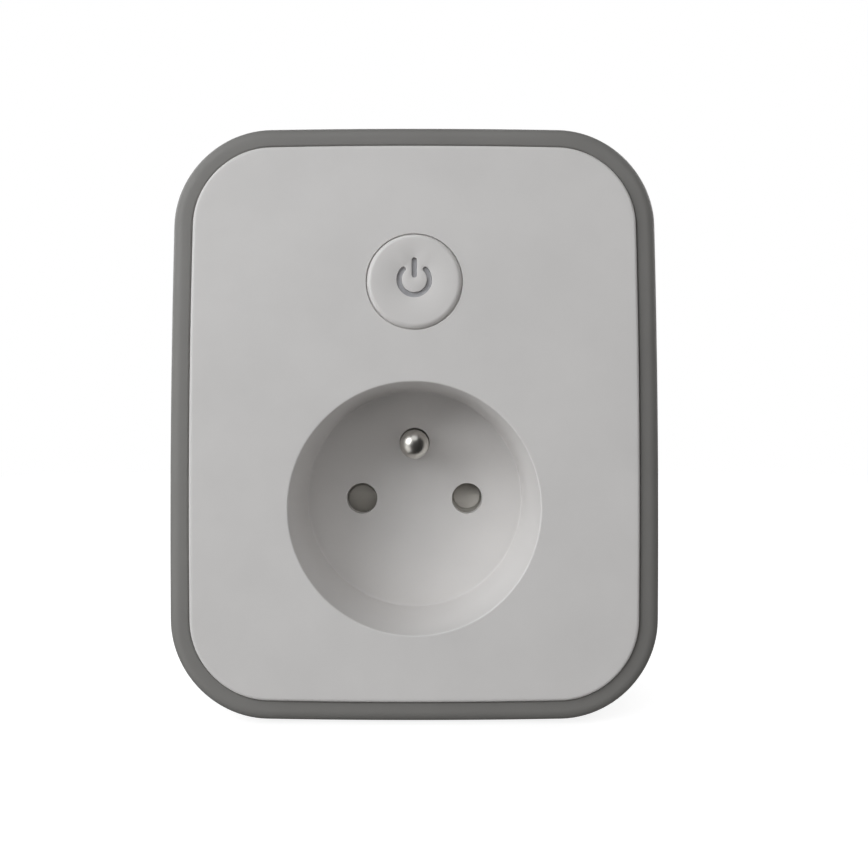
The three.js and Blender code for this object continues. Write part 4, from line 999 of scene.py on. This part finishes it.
def backdrop():
    """A round table just under the object and a white dome all round. The table is a flat disc,
    and the dome's circles have the radius r cos a and the height r sin a from pole to pole."""
    angle = np.linspace(0, 2 * math.pi, 64, endpoint=False)[None, :]
    radius = np.array([[1e-6], [TABLE_RADIUS]])
    height = FRAME_LOW[2] * MM - TABLE_GAP + 0 * radius * angle
    table = np.stack((radius * np.cos(angle), radius * np.sin(angle), height), -1)
    staged("table", loft(table), light_table())
    rise = np.radians(np.linspace(-89.9, 89.9, 40))[:, None]
    radius = DOME_RADIUS * np.cos(rise)
    height = DOME_RADIUS * np.sin(rise) + 0 * angle
    dome = np.stack((radius * np.cos(angle), radius * np.sin(angle), height), -1)
    staged("dome", loft(dome), white_dome())


COOL, WARM = (0.975, 0.99, 1.0), (1.0, 0.99, 0.98)
# Degrees off the line in front, degrees round it, watts, colour, and whether gloss shows the light.
LIGHTS = {
    "key": (55, 150, 4.75, COOL, True),
    "left": (66, 180, 0.6, COOL, True),
    "left_low": (64, 215, 1.3, WARM, True),
    "top": (53, 90, 1.3, COOL, True),
    "front": (12, 90, 0.95, WARM, False),
    "front_right": (35, 28, 0.5, WARM, False),
    "right_low": (80, 322, 1.2, WARM, False),
    "back_left": (125, 150, 3, COOL, True),
    "back_right": (125, 30, 3, WARM, True),
    "back_top": (150, 90, 3, COOL, True),
}


def soft_light(name, off_axis, turn, power, colour, in_gloss):
    """A round soft light that faces the object, off_axis degrees away from the line in front of it
    and turned about that line, from the right and towards the top."""
    off, about = math.radians(off_axis), math.radians(turn)
    side = math.sin(off)
    way = Vector((side * math.cos(about), -math.cos(off), side * math.sin(about)))
    data = bpy.data.lights.new(name, "AREA")
    data.shape, data.size = "DISK", LIGHT_WIDTH
    data.energy, data.color = power, colour
    light = bpy.data.objects.new(name, data)
    light.location = MIDDLE + way * LIGHT_DISTANCE
    light.rotation_euler = (-way).to_track_quat("-Z", "Y").to_euler()
    light.visible_camera, light.visible_glossy = False, in_gloss
    bpy.context.scene.collection.objects.link(light)


def studio():
    """Soft lights mostly from the left and above, weak ones from behind, and a dim surround."""
    backdrop()
    for name, placing in LIGHTS.items():
        soft_light(name, *placing)
    world = bpy.data.worlds.new("soft_surround")
    world.use_nodes = True
    background = world.node_tree.nodes["Background"]
    background.inputs["Color"].default_value = (1, 1, 1, 1)
    background.inputs["Strength"].default_value = 0.02
    bpy.context.scene.world = world
    bpy.context.scene.view_settings.view_transform = "Standard"


def camera():
    """A wide view from close in front, a little above the plug's axis and turned slightly up."""
    tilt = 1.56
    data = bpy.data.cameras.new("front_view")
    data.sensor_width, data.lens = 36, 30.0
    data.shift_x, data.shift_y = 0.0198, -0.029
    data.clip_start, data.clip_end = 0.01, 20
    view = bpy.data.objects.new("front_view", data)
    view.location = (0.0004, -0.1685, 0.0126)
    view.rotation_euler = (math.radians(90 + tilt), 0, 0)
    bpy.context.scene.collection.objects.link(view)
    bpy.context.scene.camera = view


# --------------------------------------------------------------------------------------------------
# Assembly
# --------------------------------------------------------------------------------------------------

camera()
studio()

front_cover(FINISHES["white_shell"])
side_frame(FINISHES["grey_shell"])
rear_cover(FINISHES["white_shell"])
button_cap(FINISHES["button_white"])
light_guide(FINISHES["light_guide"])
pins(FINISHES["nickel"])
screws(FINISHES["zinc"])
earth_parts(FINISHES["nickel"], FINISHES["brass"])
shutter_pads(FINISHES["shutter_grey"])
shutter_spring(FINISHES["spring_steel"])
for node_name, edge_radius in EDGE_RADIUS.items():
    soften(node_name, edge_radius)
